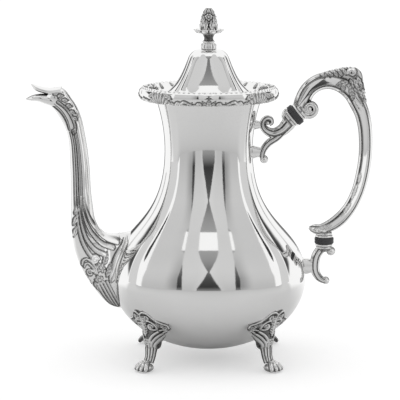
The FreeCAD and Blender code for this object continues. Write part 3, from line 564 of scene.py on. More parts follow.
BUD_PROFILE = [
    (4.6, 261.4),
    (6.4, 263.0),
    (6.3, 266.0),
    (5.7, 269.6),
    (4.9, 273.0),
    (3.6, 276.4),
    (1.2, 278.8),
]
BUD_RADIUS, BUD_TOP_Z = 6.0, 279.9
COLLAR_PROFILE = [(4.4, 247.0), (6.0, 247.3), (6.4, 249.4), (5.8, 251.4), (4.4, 252.4)]
COLLAR_FLUTES, COLLAR_FLUTE_DEPTH = 12, 0.75
STEM_PROFILE = [(4.3, 252.4), (5.0, 253.0), (3.8, 254.2), (3.5, 255.8), (4.4, 258.4), (6.6, 260.8)]
STEM_FLUTES, STEM_FLUTE_DEPTH = 8, 0.12
PLATE_RADIUS, PLATE_Z, PLATE_LEAVES = 11.7, 261.2, 10
PLATE_ABOVE, PLATE_BELOW = 0.8, 0.9


def closed_patch(points, oxide_and_shade):
    """Patch of a bar or turned piece with both ends closed."""
    oxide_and_shade = np.broadcast_to(oxide_and_shade, points.shape[:2])
    points, oxide_and_shade = close_ends(points, oxide_and_shade)
    return points, oxide_and_shade, True


def collar_patches():
    """Fluted collar: the radius dips at each flute."""
    turn = full_turn(192)
    rows = through(COLLAR_PROFILE, 36)
    flute = np.abs(np.sin(COLLAR_FLUTES / 2 * turn)) ** 0.6
    belly = np.sin(math.pi * np.linspace(0, 1, 36))[:, None] ** 0.5
    radius = rows[:, :1] - COLLAR_FLUTE_DEPTH * (1 - flute) * belly
    points = turned(radius, rows[:, 1:2], turn)
    # Oxide and painted shade in the flutes, strongest round the collar's middle.
    return [closed_patch(points, 0.75 * (1 - smooth(0.1, 0.6, flute)) * belly)]


def stem_patches():
    """Waisted stem with a bead at its foot and faint flutes, with painted shade in its waist under the leaf
    plate.
    """
    turn = full_turn(96)
    rows = through(STEM_PROFILE, 48)
    level = rows[:, 1:2]
    flutes = STEM_FLUTE_DEPTH * np.cos(STEM_FLUTES * turn) * smooth(254, 258, level)
    # Painted shade: the waist under the leaf plate is darkened, less towards its top.
    dark = 0.95 * smooth(253, 254, level) * (1 - 0.6 * smooth(258, 260, level))
    return [closed_patch(turned(rows[:, :1] + flutes, level, turn), dark)]


def leaf_plate_patches():
    """Whorl of leaves under the bud: lobed edge, sunk midribs and tips that turn up."""
    turn = full_turn(256)
    lobe = np.abs(np.cos(PLATE_LEAVES / 2 * turn))
    out = np.linspace(0.28, 1, 30)[:, None]
    radius = PLATE_RADIUS * out * (1 - 0.2 * (1 - lobe**0.7) * smooth(0.5, 1, out))
    midrib = np.exp(-((np.abs(np.sin(PLATE_LEAVES / 2 * turn)) / 0.25) ** 2))
    vein = 0.45 * midrib * smooth(0.4, 0.8, out)
    level = PLATE_Z - 0.7 * np.sin(math.pi * out) + 1.2 * smooth(0.75, 1, out) * lobe
    top = turned(radius, level + PLATE_ABOVE - vein, turn)
    under = turned(radius, level - PLATE_BELOW, turn)
    # Oxide and painted shade in the creases between the leaves.
    creases = (1 - smooth(0.0, 0.5, lobe)) * smooth(0.3, 0.6, out)
    points = np.concatenate([under, top[::-1]])
    return [closed_patch(points, np.concatenate([creases, creases[::-1]]))]


def bud_patches(depth):
    """Bud of overlapping leaves in rising tiers with a flower on each side, and a knob at the tip."""
    turn = np.linspace(-math.pi, math.pi, 260, endpoint=False)[None]
    rows = through(BUD_PROFILE, 140)
    a, b = np.broadcast_arrays(turn * BUD_RADIUS, rows[:, 1:2])
    quarter = TURN * BUD_RADIUS / 4
    place = (a + math.pi / 2 * BUD_RADIUS + quarter / 2) % quarter - quarter / 2
    stamps = [
        (1.0, rosette, (0.0, 272.4), 3.2, 5, 0.3),
        (0.9, leaf, (0.0, 275.4), (0.0, 279.6), 1.9, 1, 0.4),
    ]
    for hand in (-1, 1):
        stamps += [
            (1.0, leaf, (hand * 2.5, 262.2), (hand * 1.4, 270.0), 2.2, 2, 0.5),
            (1.0, leaf, (hand * 4.7, 264.0), (hand * 4.7, 273.6), 2.3, 3, 0.5),
            (0.9, leaf, (hand * 4.7, 273.8), (hand * 4.2, 279.0), 2.0, 1, 0.4),
        ]
    relief, dark = carved(place, b, stamps)
    points = raised(turned(rows[:, :1], rows[:, 1:2], turn), relief - 0.2, depth)
    points[..., 2] = np.minimum(points[..., 2], BUD_TOP_Z)
    return [closed_patch(points, dark)]


# Spout: rows give the lower edge, the upper edge and the half width of a section, in the plane y = 0

SPOUT_ROWS = [
    ((-58.0, 42.0), (-50.0, 100.1), 33.0),
    ((-70.0, 41.5), (-63.0, 101.6), 30.5),
    ((-80.0, 45.0), (-74.0, 100.3), 27.0),
    ((-92.0, 58.5), (-81.0, 101.0), 20.0),
    ((-101.0, 73.0), (-86.0, 104.5), 14.5),
    ((-106.5, 88.0), (-89.0, 109.0), 11.5),
    ((-108.6, 103.0), (-90.8, 115.0), 9.6),
    ((-109.0, 118.0), (-91.7, 122.0), 8.5),
    ((-109.0, 134.0), (-93.1, 134.0), 7.8),
    ((-109.2, 155.0), (-94.2, 155.0), 7.3),
    ((-110.8, 178.6), (-97.0, 177.0), 7.0),
    ((-114.5, 188.5), (-100.5, 194.0), 7.0),
    ((-121.0, 199.3), (-106.8, 207.0), 7.4),
    ((-126.5, 204.8), (-117.0, 217.0), 7.2),
    ((-129.6, 207.6), (-123.6, 214.6), 5.0),
]
BEAK_UPPER = [
    (-116.0, 213.4, 4.4, 6.4),
    (-124.0, 214.0, 2.8, 6.2),
    (-130.0, 215.0, 2.4, 5.4),
    (-135.5, 216.9, 2.0, 3.8),
    (-139.3, 219.8, 0.5, 1.2),
]
BEAK_LOWER = [
    (-118.5, 205.6, 4.8, 6.6),
    (-127.0, 207.8, 4.2, 6.5),
    (-134.0, 208.9, 3.0, 5.5),
    (-139.4, 208.4, 2.0, 3.7),
    (-143.3, 207.7, 0.6, 1.4),
]

# Reeds: place across, which is 1 at the lower edge and -1 at the upper, half width and strength
REED_LINES = ((0.63, 0.07, 0.9), (0.37, 0.07, 1.0), (0.14, 0.08, 1.0), (-0.2, 0.06, 0.9))

# Heights over which the reeds come and go, and between which the ornament has no dark outline
REEDS_COME, REEDS_GO = (116, 126), (181, 186)
PLAIN_COMES, PLAIN_GOES = (117, 130), (174, 180)


def spout_stamps():
    """Ornament of the spout's side, drawn in the plane of spout and handle and shared by both sides."""
    crest = [
        (-122.0, 212.4, -117.4, 213.6),
        (-118.4, 211.0, -113.4, 211.4),
        (-115.0, 208.0, -109.8, 207.4),
        (-111.6, 204.0, -106.8, 202.4),
        (-108.6, 199.4, -104.4, 197.0),
        (-106.2, 194.6, -102.8, 191.6),
    ]
    tongues = [
        (-106.4, 117.0, -101.0, 126.6),
        (-107.8, 108.0, -102.8, 118.0),
        (-107.6, 98.5, -104.0, 108.4),
    ]
    scrolls = [
        [
            (-118.0, 206.0),
            (-112.6, 202.0),
            (-108.2, 196.4),
            (-105.6, 190.5),
            (-104.6, 185.0),
            (-106.2, 181.4),
        ],
        [(-121.5, 203.4), (-115.5, 198.0), (-111.4, 191.0), (-109.6, 184.5)],
        [(-100.4, 77.0), (-99.6, 80.4), (-97.2, 82.2), (-93.1, 81.0), (-89.6, 76.6), (-88.4, 72.0)],
        [(-98.6, 75.4), (-97.6, 78.0), (-95.6, 78.9), (-92.2, 76.8), (-90.0, 72.2)],
    ]
    sweeps = [
        [(-105.0, 131.0), (-104.5, 121.0), (-102.6, 106.0), (-99.0, 94.5), (-94.0, 86.6), (-90.0, 82.4)],
        [(-102.9, 131.0), (-102.1, 121.0), (-99.6, 107.0), (-95.2, 96.5), (-88.6, 89.8), (-82.0, 87.4)],
        [(-100.7, 131.0), (-99.5, 122.0), (-96.4, 111.0), (-91.2, 101.6), (-83.6, 95.0), (-75.4, 93.0)],
        [(-98.0, 131.0), (-96.6, 122.0), (-93.4, 113.0), (-88.0, 105.0), (-80.4, 99.0), (-72.0, 97.0)],
    ]
    flutes = [
        [(-87.6, 62.6), (-82.4, 53.0), (-77.4, 46.4)],
        [(-85.0, 64.0), (-79.8, 54.4), (-74.6, 45.0)],
        [(-82.4, 65.4), (-77.4, 55.6), (-72.2, 44.6)],
        [(-79.8, 66.2), (-75.2, 57.0), (-70.4, 46.4)],
    ]
    return [
        (1.0, stroke, *line(scrolls[0], 1.0, 0.9)),
        (1.0, stroke, *curl((-106.2, 183.0), 1.7, 60, -1.2, 0.8)),
        (0.7, stroke, *line(scrolls[1], 1.0, 0.6)),
        *[(1.0, leaf, ends[:2], ends[2:], 1.9, 2, 0.5) for ends in crest],
        *[(0.8, leaf, ends[:2], ends[2:], 2.4, 2, 0.3) for ends in tongues],
        *[(0.85, stroke, *line(path, 0.5, 2.0, 60)) for path in sweeps],
        (1.0, stroke, *curl((-89.8, 82.6), 3.4, 20, 1.5, 1.3)),
        (1.0, stroke, *line(scrolls[2], 0.9, 1.1)),
        (1.0, stroke, *line(scrolls[3], 0.8, 1.0)),
        (1.0, rosette, (-85.2, 77.0), 4.3, 6),
        (1.0, rosette, (-86.2, 66.8), 4.2, 5, 0.4),
        (1.0, stroke, *curl((-94.0, 71.2), 2.8, 40, 1.3, 0.9)),
        (0.9, leaf, (-82.6, 79.5), (-79.6, 90.0), 2.6, 4, 0.6),
        (1.0, leaf, (-77.2, 66.0), (-64.0, 103.6), 5.2, 2, 0.15),
        (0.9, leaf, (-80.4, 70.0), (-76.6, 82.0), 2.2, 4, 0.7),
        (0.9, leaf, (-91.0, 64.0), (-85.6, 56.4), 2.4, 3, 0.7),
        (0.9, leaf, (-98.4, 68.4), (-92.6, 61.6), 2.0, 3, 0.7),
        *[(0.8, stroke, *line(path, 1.3, 0.8, 30)) for path in flutes],
        (0.9, stroke, *curl((-67.8, 101.4), 2.2, 250, -1.3, 0.9)),
    ]


def spout_patches(depth, reed_depth):
    """Swan neck with reeded sides, scrolls and flowers, seated on the body, and the halves of its beak.

    A section is an oval between the lower and the upper edge, whose corners fill out towards the foot.
    """
    table = np.array([low + high + (half,) for low, high, half in SPOUT_ROWS])
    middle = (table[:, :2] + table[:, 2:4]) / 2
    rows = through(np.concatenate([middle, table], 1), 420)[:, 2:]
    low, high, half = rows[:, None, :2], rows[:, None, 2:4], rows[:, None, 4]
    turn = full_turn(192)
    flat = np.cos(turn)[..., None]
    place = (low + high) / 2 + (low - high) / 2 * flat
    side = np.sign(np.sin(turn)) * np.abs(np.sin(turn)) ** (0.85 + 0.2 * smooth(105, 130, place[..., 1]))
    points = np.stack([place[..., 0], half * side, place[..., 1]], 2)
    height = place[..., 1]
    across = flat[..., 0] * np.ones_like(height)
    facing = smooth(0.05, 0.4, np.abs(np.sin(turn)))
    grooves = grooved(across, REED_LINES) * band(REEDS_COME, REEDS_GO, height)
    relief, dark = carved(place[..., 0], place[..., 1], spout_stamps())
    dark = dark * (1 - band(PLAIN_COMES, PLAIN_GOES, height))
    relief = relief * facing
    points = raised(points, relief - grooves * reed_depth / depth, depth)
    # Painted shade: dark lines along the spout's upper and lower edges; the reeds darken with oxide and
    # painted shade.
    edges = 0.4 * smooth(0.88, 0.96, np.abs(across)) * smooth(0.03, 0.15, np.abs(np.sin(turn)))
    edges = edges * smooth(95, 110, height)
    oxide_and_shade = np.maximum(np.maximum(dark * facing, grooves), edges)
    beaks = []
    for rows, mouth in ((BEAK_UPPER, -1), (BEAK_LOWER, 1)):
        half = bar(through(rows, 60), 48)
        level = half[..., 2] - half[..., 2].mean(1, keepdims=True)
        level = level / (np.ptp(half[..., 2], axis=1)[:, None] / 2 + 1e-6)
        # Painted shade under the upper beak and inside the lower one, on the sides that face the mouth.
        beaks.append(closed_patch(half, 0.85 * smooth(0.55, 0.95, mouth * level)))
    return [closed_patch(seated(points), np.clip(oxide_and_shade, 0, 1))] + beaks


# Handle: rows of a bar give its place in the plane y = 0, its half depth there and its half width across

GRIP_ROWS = [
    (71.9, 199.0, 6.3, 6.4),
    (74.0, 207.0, 6.3, 6.2),
    (79.0, 216.0, 6.3, 6.0),
    (87.0, 221.3, 6.6, 6.0),
    (95.0, 222.5, 6.8, 6.0),
    (104.0, 220.0, 7.0, 6.0),
    (112.0, 213.5, 6.9, 6.0),
    (117.4, 204.0, 6.4, 6.0),
    (120.3, 197.6, 6.0, 6.0),
    (122.7, 188.0, 5.6, 6.0),
    (123.8, 175.0, 5.3, 6.0),
    (123.5, 162.0, 5.2, 6.0),
    (121.5, 148.0, 5.2, 6.0),
    (117.8, 134.0, 5.0, 5.8),
    (111.4, 121.0, 5.0, 5.8),
    (103.0, 111.4, 5.2, 6.0),
    (94.5, 106.0, 4.6, 5.6),
    (88.0, 104.0, 4.0, 4.8),
    (83.8, 104.4, 3.6, 4.2),
    (81.4, 104.9, 2.4, 3.0),
    (80.2, 105.2, 0.9, 1.2),
]
THUMB_ROWS = [
    (84.0, 223.0, 2.4, 3.4),
    (92.0, 226.0, 2.8, 4.4),
    (101.0, 227.8, 3.4, 5.0),
    (108.6, 228.2, 4.4, 5.4),
    (113.2, 226.8, 5.8, 5.6),
    (116.2, 219.6, 5.0, 5.4),
    (119.0, 212.0, 3.8, 4.8),
    (121.6, 205.0, 2.2, 3.6),
]

# Grooves: place across, half width and strength
GRIP_LINES = ((-0.52, 0.14, 1.0), (0.55, 0.1, 0.9))
SCROLL_LINES = ((0.5, 0.15, 1.0), (-0.45, 0.15, 1.0))

# The grip's crest moves from one place across to another over these heights
LOW_CREST, HIGH_CREST, CREST_MOVES = 0.5, -0.4, (196, 214)

# Heat breaks: middle and slope of their axes, half a disc's thickness, and radii of collars and discs
UPPER_JOINT, UPPER_SLOPE = (67.9, 195.3), math.radians(39)
LOWER_JOINT, LOWER_SLOPE = (91.8, 95.2), math.radians(90)
DISC_HALF, UPPER_COLLAR, LOWER_COLLAR, UPPER_DISC, LOWER_DISC = 2.5, 7.8, 6.9, 8.6, 7.6

# Collar beside a heat break: way along its axis, share of its radius, and darkness of oxide and painted shade
COLLAR_STEPS = [
    (0.0, 0.9, 0.2),
    (0.4, 1.0, 0.0),
    (1.5, 1.0, 0.0),
    (2.0, 0.88, 1.0),
    (2.5, 0.95, 0.1),
    (3.6, 0.92, 0.0),
    (4.0, 0.84, 1.0),
    (6.0, 0.78, 0.0),
]

# Bar under the grip's volute
CHIN_ROWS = [(72.6, 201.0, 2.6, 5.8), (74.4, 196.6, 2.6, 5.8), (78.6, 194.0, 2.4, 5.6)]

# Brackets: the upper one's arm, branch and brace, and the lower one's hook with its pad
ARM_ROWS = [
    (65.8, 193.4, 6.4, 6.2),
    (62.2, 187.8, 5.6, 5.2),
    (57.6, 183.2, 4.8, 4.8),
    (51.8, 181.0, 4.2, 4.6),
    (46.2, 182.6, 3.4, 4.6),
    (43.0, 186.4, 2.8, 4.6),
    (43.2, 190.6, 2.4, 4.4),
    (46.0, 193.0, 2.0, 4.2),
    (49.2, 192.2, 1.7, 4.0),
    (49.8, 189.4, 1.4, 3.8),
    (47.8, 187.8, 1.1, 3.6),
]
BRANCH_ROWS = [
    (61.0, 184.6, 2.6, 4.2),
    (54.0, 177.6, 3.0, 4.2),
    (46.8, 172.6, 3.0, 4.2),
    (42.8, 166.6, 2.7, 4.2),
    (42.0, 161.4, 2.3, 4.2),
]
BRACE_ROWS = [
    (66.0, 199.6, 2.0, 4.0),
    (61.6, 198.2, 2.6, 4.4),
    (60.2, 194.0, 2.8, 4.4),
    (62.4, 190.4, 2.4, 4.2),
]
HOOK_ROWS = [
    (97.8, 88.2, 1.6, 3.8),
    (94.6, 90.0, 2.8, 4.2),
    (90.4, 88.8, 3.5, 4.4),
    (86.6, 84.6, 3.7, 4.4),
    (84.6, 77.0, 3.7, 4.4),
    (85.4, 69.4, 3.4, 4.4),
    (88.8, 64.4, 2.9, 4.2),
    (93.0, 62.2, 2.3, 4.0),
]
HOOK_PAD = [(73.5, 74.2, 7.0, 4.6), (79.6, 74.4, 6.0, 4.2), (84.4, 74.6, 4.6, 3.8)]


def thumb_stamps():
    """Thumb leaf: a curl at its peak, small leaves along its crest and long ones that fall behind it."""
    crest = [(88.0, 225.6), (91.4, 227.4), (94.8, 228.8), (98.2, 230.0), (101.6, 231.0), (105.0, 231.8)]
    falls = [
        (113.6, 225.0, 117.6, 214.6),
        (110.4, 224.6, 113.6, 214.0),
        (107.2, 224.4, 108.8, 216.0),
        (116.0, 226.4, 120.6, 216.6),
        (117.6, 215.6, 120.8, 206.4),
        (114.4, 214.6, 117.4, 206.0),
        (120.2, 216.4, 123.2, 207.6),
    ]
    return [
        (1.0, stroke, *curl((112.0, 229.4), 3.3, 190, -1.6, 1.1)),
        *[(0.9, leaf, (x + 3.0, z - 4.4), (x - 0.6, z + 1.0), 1.7, 2, 0.5) for x, z in crest],
        (0.9, leaf, (106.0, 225.0), (87.0, 222.4), 1.7, 7, 0.6),
        *[(1.0, leaf, ends[:2], ends[2:], 2.0, 3, 0.6) for ends in falls],
        (0.9, rosette, (115.4, 221.8), 1.8, 5),
    ]


def grip_stamps():
    """Sheath under the thumb leaf, and a spray of shallow leaves down the grip."""
    return [
        (0.9, leaf, (110.0, 222.0), (99.6, 219.4), 2.4, 4, 0.7),
        (0.9, leaf, (111.6, 220.0), (113.0, 206.6), 2.6, 5, 0.7),
        (0.9, leaf, (106.0, 221.0), (104.6, 213.6), 2.2, 4, 0.7),
        (0.5, leaf, (119.8, 150.0), (118.0, 140.0), 1.3, 3, 0.6),
        (0.5, leaf, (117.6, 141.0), (112.6, 127.0), 1.5, 5, 0.6),
        (0.5, leaf, (112.6, 126.0), (105.0, 114.6), 1.5, 5, 0.6),
        (0.5, leaf, (97.0, 107.6), (85.0, 104.4), 1.8, 5, 0.6),
    ]


def grooved_bar(rows, count, around, lines, squareness):
    """Bar with grooves along its sides, darkened by oxide and painted shade.

    Gives its grid, the grooves, the grooves with a painted shade line at either edge, and how far a point
    faces aside.
    """
    points = bar(through(rows, count), around, squareness)
    turn = full_turn(around)
    facing = smooth(0.1, 0.45, np.abs(np.sin(turn)))
    across = np.cos(turn) * np.ones((count, 1))
    grooves = grooved(across, lines) * facing
    # Painted shade: a dark line along either edge of the bar as seen from the side.
    edges = 0.6 * smooth(0.84, 0.95, np.abs(across)) * smooth(0.05, 0.2, np.abs(np.sin(turn)))
    return points, grooves, np.maximum(grooves, edges), facing


def volute(centre, radius, start, turns, half_depth, half_width, eye):
    """Scroll end: a bar wound in along a spiral, thinning as it goes, and a round eye that stands proud."""
    count = 90
    path = spiral(centre, radius, start, turns, 0.3, count)
    t = np.linspace(0, 1, count)[:, None]
    rows = np.concatenate([path, half_depth * (1 - 0.5 * t), half_width * (1 + 0.05 * t)], 1)
    coil = bar(rows, 36, 0.75)
    across = np.abs(np.cos(full_turn(36))) * np.ones((count, 1))
    # Painted shade along the coil's edges in the plane, where its turns lie against each other.
    return [closed_patch(coil, smooth(0.5, 0.9, across)), ball(centre, (eye, half_width * 1.1))]


def ball(centre, sizes, around=40, rows=24):
    """Ball in the plane of spout and handle, stretched across it, as a patch, with painted shade round its
    outline.
    """
    tilt = np.linspace(0, math.pi, rows)[:, None]
    turn = full_turn(around)
    x = centre[0] + sizes[0] * np.sin(tilt) * np.cos(turn)
    z = centre[1] + sizes[0] * np.sin(tilt) * np.sin(turn)
    y = sizes[1] * np.cos(tilt) * np.ones_like(turn)
    # Painted shade: a dark rim round the ball's outline as seen from the side.
    rim = 0.85 * smooth(0.72, 0.95, np.sin(tilt)) * np.ones_like(turn)
    return np.stack([x, y, z], 2), rim, True


def on_axis(centre, slope, profile, around=72):
    """Turned grid on a joint's axis, from rows of (distance along it, radius)."""
    axis = np.array([math.cos(slope), 0, math.sin(slope)])
    beside = np.array([-math.sin(slope), 0, math.cos(slope)])
    turn = full_turn(around)[..., None]
    along, radius = np.array(profile).T[..., None, None]
    middle = np.array([centre[0], 0, centre[1]])
    return middle + axis * along + radius * (beside * np.cos(turn) + np.array([0, 1.0, 0]) * np.sin(turn))


def ring_collar(centre, slope, side, radius):
    """Moulded collar against one side of a heat break, turned on its axis."""
    along, share, dark = np.array(COLLAR_STEPS).T
    rows = np.stack([side * (DISC_HALF + along), radius * share], 1)
    return closed_patch(on_axis(centre, slope, rows), dark[:, None])


def bar_patch(rows, count=60):
    """Plain bar through a few rows, as a closed patch."""
    return closed_patch(bar(through(rows, count), 36, 0.85), 0.0)


def pad_patch(rows):
    """Plain bar that ends in the wall of the body, as a closed patch."""
    points, oxide_and_shade, wrap = bar_patch(rows, 40)
    return seated(points), oxide_and_shade, wrap


def scroll_bar(rows, depth, count=120):
    """Bracket's bar with lengthwise grooves, as a closed patch."""
    points, grooves, dark, _ = grooved_bar(rows, count, 64, SCROLL_LINES, 1.2)
    return closed_patch(raised(points, -grooves, depth), dark)


def grip_patches(depth, leaf_depth):
    """Handle: grooved arch with an off-centre crest, thumb leaf, volute, lower scroll and both collars."""
    points, grooves, lines, facing = grooved_bar(GRIP_ROWS, 340, 80, GRIP_LINES, 1.0)
    turn = full_turn(80)
    level = points[..., 2].mean(1, keepdims=True)
    crest = LOW_CREST + (HIGH_CREST - LOW_CREST) * smooth(*CREST_MOVES, level)
    half_width = points[..., 1].max(1, keepdims=True)
    points[..., 1] = np.sign(np.sin(turn)) * crested(np.cos(turn), crest) * half_width
    relief, dark = carved(points[..., 0], points[..., 2], grip_stamps())
    dark = dark * facing * (0.35 + 0.65 * smooth(155, 200, points[..., 2]))
    plain = relief < 0.05
    points = raised(points, relief * facing - grooves * plain, depth)
    grip = closed_patch(points, np.clip(np.maximum(lines * plain, dark), 0, 1))
    thumb = bar(through(THUMB_ROWS, 140), 96, 0.7)
    side = smooth(0.1, 0.4, np.abs(np.sin(full_turn(96))))
    relief, dark = carved(thumb[..., 0], thumb[..., 2], thumb_stamps())
    ripple = np.abs(np.cos(np.linspace(0, 11 * math.pi, 140)))[:, None] * (1 - side)
    height = np.maximum(relief * side, 0.8 * ripple)
    # Oxide and painted shade on the leaf's ground and between the ripples of its crest.
    dark = np.maximum(dark, 0.4 * (1 - smooth(0.05, 0.5, relief)))
    oxide_and_shade = np.maximum(dark * side, (1 - smooth(0.1, 0.5, ripple)) * (1 - side))
    thumb_leaf = closed_patch(raised(thumb, height - 0.5, leaf_depth), oxide_and_shade)
    return [
        grip,
        thumb_leaf,
        *volute((79.4, 200.4), radius=5.9, start=190, turns=1.35, half_depth=3.0, half_width=5.6, eye=2.4),
        bar_patch(CHIN_ROWS),
        ring_collar(UPPER_JOINT, UPPER_SLOPE, 1, UPPER_COLLAR),
        ring_collar(LOWER_JOINT, LOWER_SLOPE, 1, LOWER_COLLAR),
    ]


def upper_bracket_patches(depth):
    """Double scroll on the neck: an arm from the heat break that parts into a volute and a lower curl."""
    pads = [
        [(33.0, level, half + 1.0, 4.4), (38.6, level, half - 0.6, 3.8), (43.0, level, half - 1.6, 3.2)]
        for level, half in [(187.6, 4.0), (166.0, 5.0)]
    ]
    return [
        scroll_bar(ARM_ROWS, depth, 180),
        scroll_bar(BRANCH_ROWS, depth),
        ball((46.6, 189.4), (2.0, 4.6)),
        ball((43.8, 160.2), (3.2, 4.6)),
        bar_patch(BRACE_ROWS),
        *[pad_patch(rows) for rows in pads],
        ring_collar(UPPER_JOINT, UPPER_SLOPE, -1, UPPER_COLLAR),
    ]


def lower_bracket_patches(depth):
    """C-scroll on the belly, with a ball curl under the heat break and a curled foot."""
    return [
        scroll_bar(HOOK_ROWS, depth),
        ball((97.2, 86.6), (3.5, 4.8)),
        ball((93.4, 62.8), (2.9, 4.6)),
        pad_patch(HOOK_PAD),
        ring_collar(LOWER_JOINT, LOWER_SLOPE, -1, LOWER_COLLAR),
    ]


def insulator_patches(centre, slope, radius):
    """Heat break: a disc with softened edges, and its tenons, turned on its axis."""
    half = [(0.5, radius), (1.7, radius), (2.2, radius - 0.2), (2.5, radius - 0.7), (2.5, 3.4), (8.5, 3.4)]
    rows = [(-along, reach) for along, reach in half[::-1]] + [(0.0, radius - 0.12)] + half
    return [closed_patch(on_axis(centre, slope, rows, 96), 0.0)]


# Feet: worked out facing +X from the body's axis, then turned to their corners

APRON_EDGE = [
    (0.0, 48.6),
    (3.0, 49.8),
    (6.0, 49.2),
    (9.8, 46.2),
    (13.4, 42.6),
    (17.6, 41.2),
    (21.6, 39.4),
    (21.2, 36.4),
    (17.4, 33.6),
    (13.2, 31.0),
    (9.0, 27.8),
    (6.4, 23.4),
    (4.8, 18.0),
    (0.0, 15.6),
]
APRON_MIDDLE = (0.0, 34.0)
APRON_LIFT, APRON_DEPTH, APRON_REACH = 2.0, 7.0, 60.0
LEG_ROWS = [
    (60.8, 28.0, 6.2, 5.8),
    (62.6, 22.0, 5.4, 5.0),
    (63.4, 16.5, 4.6, 4.4),
    (64.4, 11.0, 4.0, 4.0),
    (66.2, 7.0, 3.7, 4.0),
]
KNEE_LINE = [
    (13.0, 67.0),
    (18.5, 67.6),
    (25.0, 68.2),
    (33.0, 70.0),
    (41.5, 72.6),
    (47.0, 74.6),
    (51.0, 76.8),
]
KNEE_ROUNDING = 0.09
LEG_RIDGES = 10
HEEL_CENTRE, HEEL_SIZES = (68.0, 3.0), (5.8, 4.8, 3.4)
TOE_ROWS = [
    (-1.0, 7.2, 1.2),
    (2.2, 7.6, 1.7),
    (5.4, 6.5, 2.0),
    (8.2, 4.3, 2.1),
    (9.6, 2.4, 1.8),
    (9.6, 1.2, 1.0),
]
TOE_ANGLES = (-34, -11.5, 11.5, 34)
BLOOM_CENTRE, BLOOM_RADIUS, BLOOM_HEIGHT, BLOOM_FALL = (68.6, 23.6), 4.0, 2.6, 3.0


def apron_stamps():
    """Border along the top of each wing, a C scroll with a leaf, flowers, and arcs down to the leg."""
    arcs = [
        [(1.4, 18.4), (2.6, 24.4), (5.6, 29.6), (10.4, 33.2), (17.0, 35.0)],
        [(2.8, 18.0), (4.2, 23.4), (7.4, 28.2), (12.0, 31.6), (17.2, 33.9)],
    ]
    return [
        (0.9, stroke, *line([(0.6, 46.6), (3.4, 48.4), (6.2, 48.4), (9.6, 45.6), (13.0, 41.8)], 0.8, 0.8)),
        (0.8, stroke, *line([(13.0, 41.8), (17.0, 40.2), (20.6, 38.6), (20.2, 36.6)], 0.8, 0.7)),
        (1.0, stroke, *curl((6.4, 36.8), 4.6, 110, -1.25, 1.05)),
        (0.8, leaf, (4.9, 34.4), (7.4, 39.2), 1.4, 3, 0.6),
        (0.9, stroke, *curl((5.6, 44.4), 2.3, 200, 1.1, 0.75)),
        (0.9, rosette, (12.4, 38.6), 2.2, 5),
        (0.9, rosette, (15.9, 37.4), 2.1, 5, 0.5),
        (0.8, rosette, (18.8, 36.6), 1.7, 5),
        (1.0, stroke, *line(arcs[0], 0.95, 0.8)),
        (1.0, stroke, *line(arcs[1], 0.75, 0.55)),
        (0.9, stroke, *line([(4.2, 18.4), (5.7, 23.2), (8.6, 27.4), (13.0, 30.8)], 0.55, 0.5)),
        (1.0, leaf, (0.0, 29.0), (2.4, 38.0), 2.0, 4, 0.7),
        (1.0, leaf, (0.6, 35.0), (2.8, 46.2), 1.9, 5, 0.7),
        (0.9, stroke, *line([(0.0, 46.0), (0.2, 38.0), (0.0, 29.0)], 0.6, 0.9)),
    ]


def apron_patch(depth):
    """Shield of two wings that meet in a ridge: it lies on the body, and hangs down in front of the leg.

    Its front stands out to the ridge's line, which rounds off with the square of the way aside, or to a low
    lift over the body's skin. It carries the relief and thins to nothing at the rim, and a back closes it.
    """
    edge = np.array(APRON_EDGE)
    rim = through(np.concatenate([edge, (edge * [-1, 1])[-2:0:-1], edge[:1]]), 300)
    core = np.array(APRON_MIDDLE)
    share = np.linspace(0, 1, 100)[:, None, None]
    flat = core + (rim[None] - core) * share
    side, height = flat[..., 0], flat[..., 1]
    relief, dark = carved(np.abs(side), height, apron_stamps())
    # Oxide and painted shade over the ground between the stamps.
    dark = np.maximum(dark, 0.85 * (1 - smooth(0.05, 0.45, relief)))
    skin = body_side_at(height, math.pi / 4 + side / APRON_REACH) - 0.4
    levels, knee = np.array(KNEE_LINE).T
    front = np.interp(height, levels, knee) - KNEE_ROUNDING * side**2
    back = np.maximum(np.sqrt(np.maximum(skin**2 - side**2, 1.0)), front - APRON_DEPTH)
    lift = np.sqrt(np.clip(1 - share[..., 0] ** 8, 0, 1))
    out = back + lift * (np.maximum(front - back, APRON_LIFT) + depth * 1.3 * (relief - 0.3))
    faces = [np.stack([x, side, height], 2) for x in (out, back)]
    # Painted shade on the back, which lies against the body.
    return np.concatenate([faces[0], faces[1][::-1]]), np.concatenate([dark, np.full_like(dark, 0.3)]), True


def leg_patch(depth):
    """Leg with grooves down it, from the apron to the paw."""
    points = bar(through(LEG_ROWS, 90), 90, 0.9)
    ridge = np.abs(np.sin(LEG_RIDGES / 2 * full_turn(90))) * np.ones((90, 1))
    # Oxide and painted shade in the grooves between the ridges.
    return closed_patch(raised(points, ridge**0.7, depth), 1 - smooth(0.25, 0.9, ridge))


def toe_patch(angle):
    """One toe: a tapered bar that curves over and down, turned aside about the leg's lower end."""
    rows = through(np.array(TOE_ROWS)[:, [0, 1, 2, 2]], 40)
    points = bar(rows, 32)
    points[..., 2] = np.maximum(points[..., 2], 0.0)
    cos, sin = math.cos(math.radians(angle)), math.sin(math.radians(angle))
    x, y = points[..., 0].copy(), points[..., 1].copy()
    points[..., 0] = LEG_ROWS[-1][0] + x * cos - y * sin
    points[..., 1] = x * sin + y * cos
    # Painted shade on the toes' sides, where they lie against each other.
    return closed_patch(points, 0.95 * smooth(0.5, 0.95, np.abs(np.sin(full_turn(32)))))


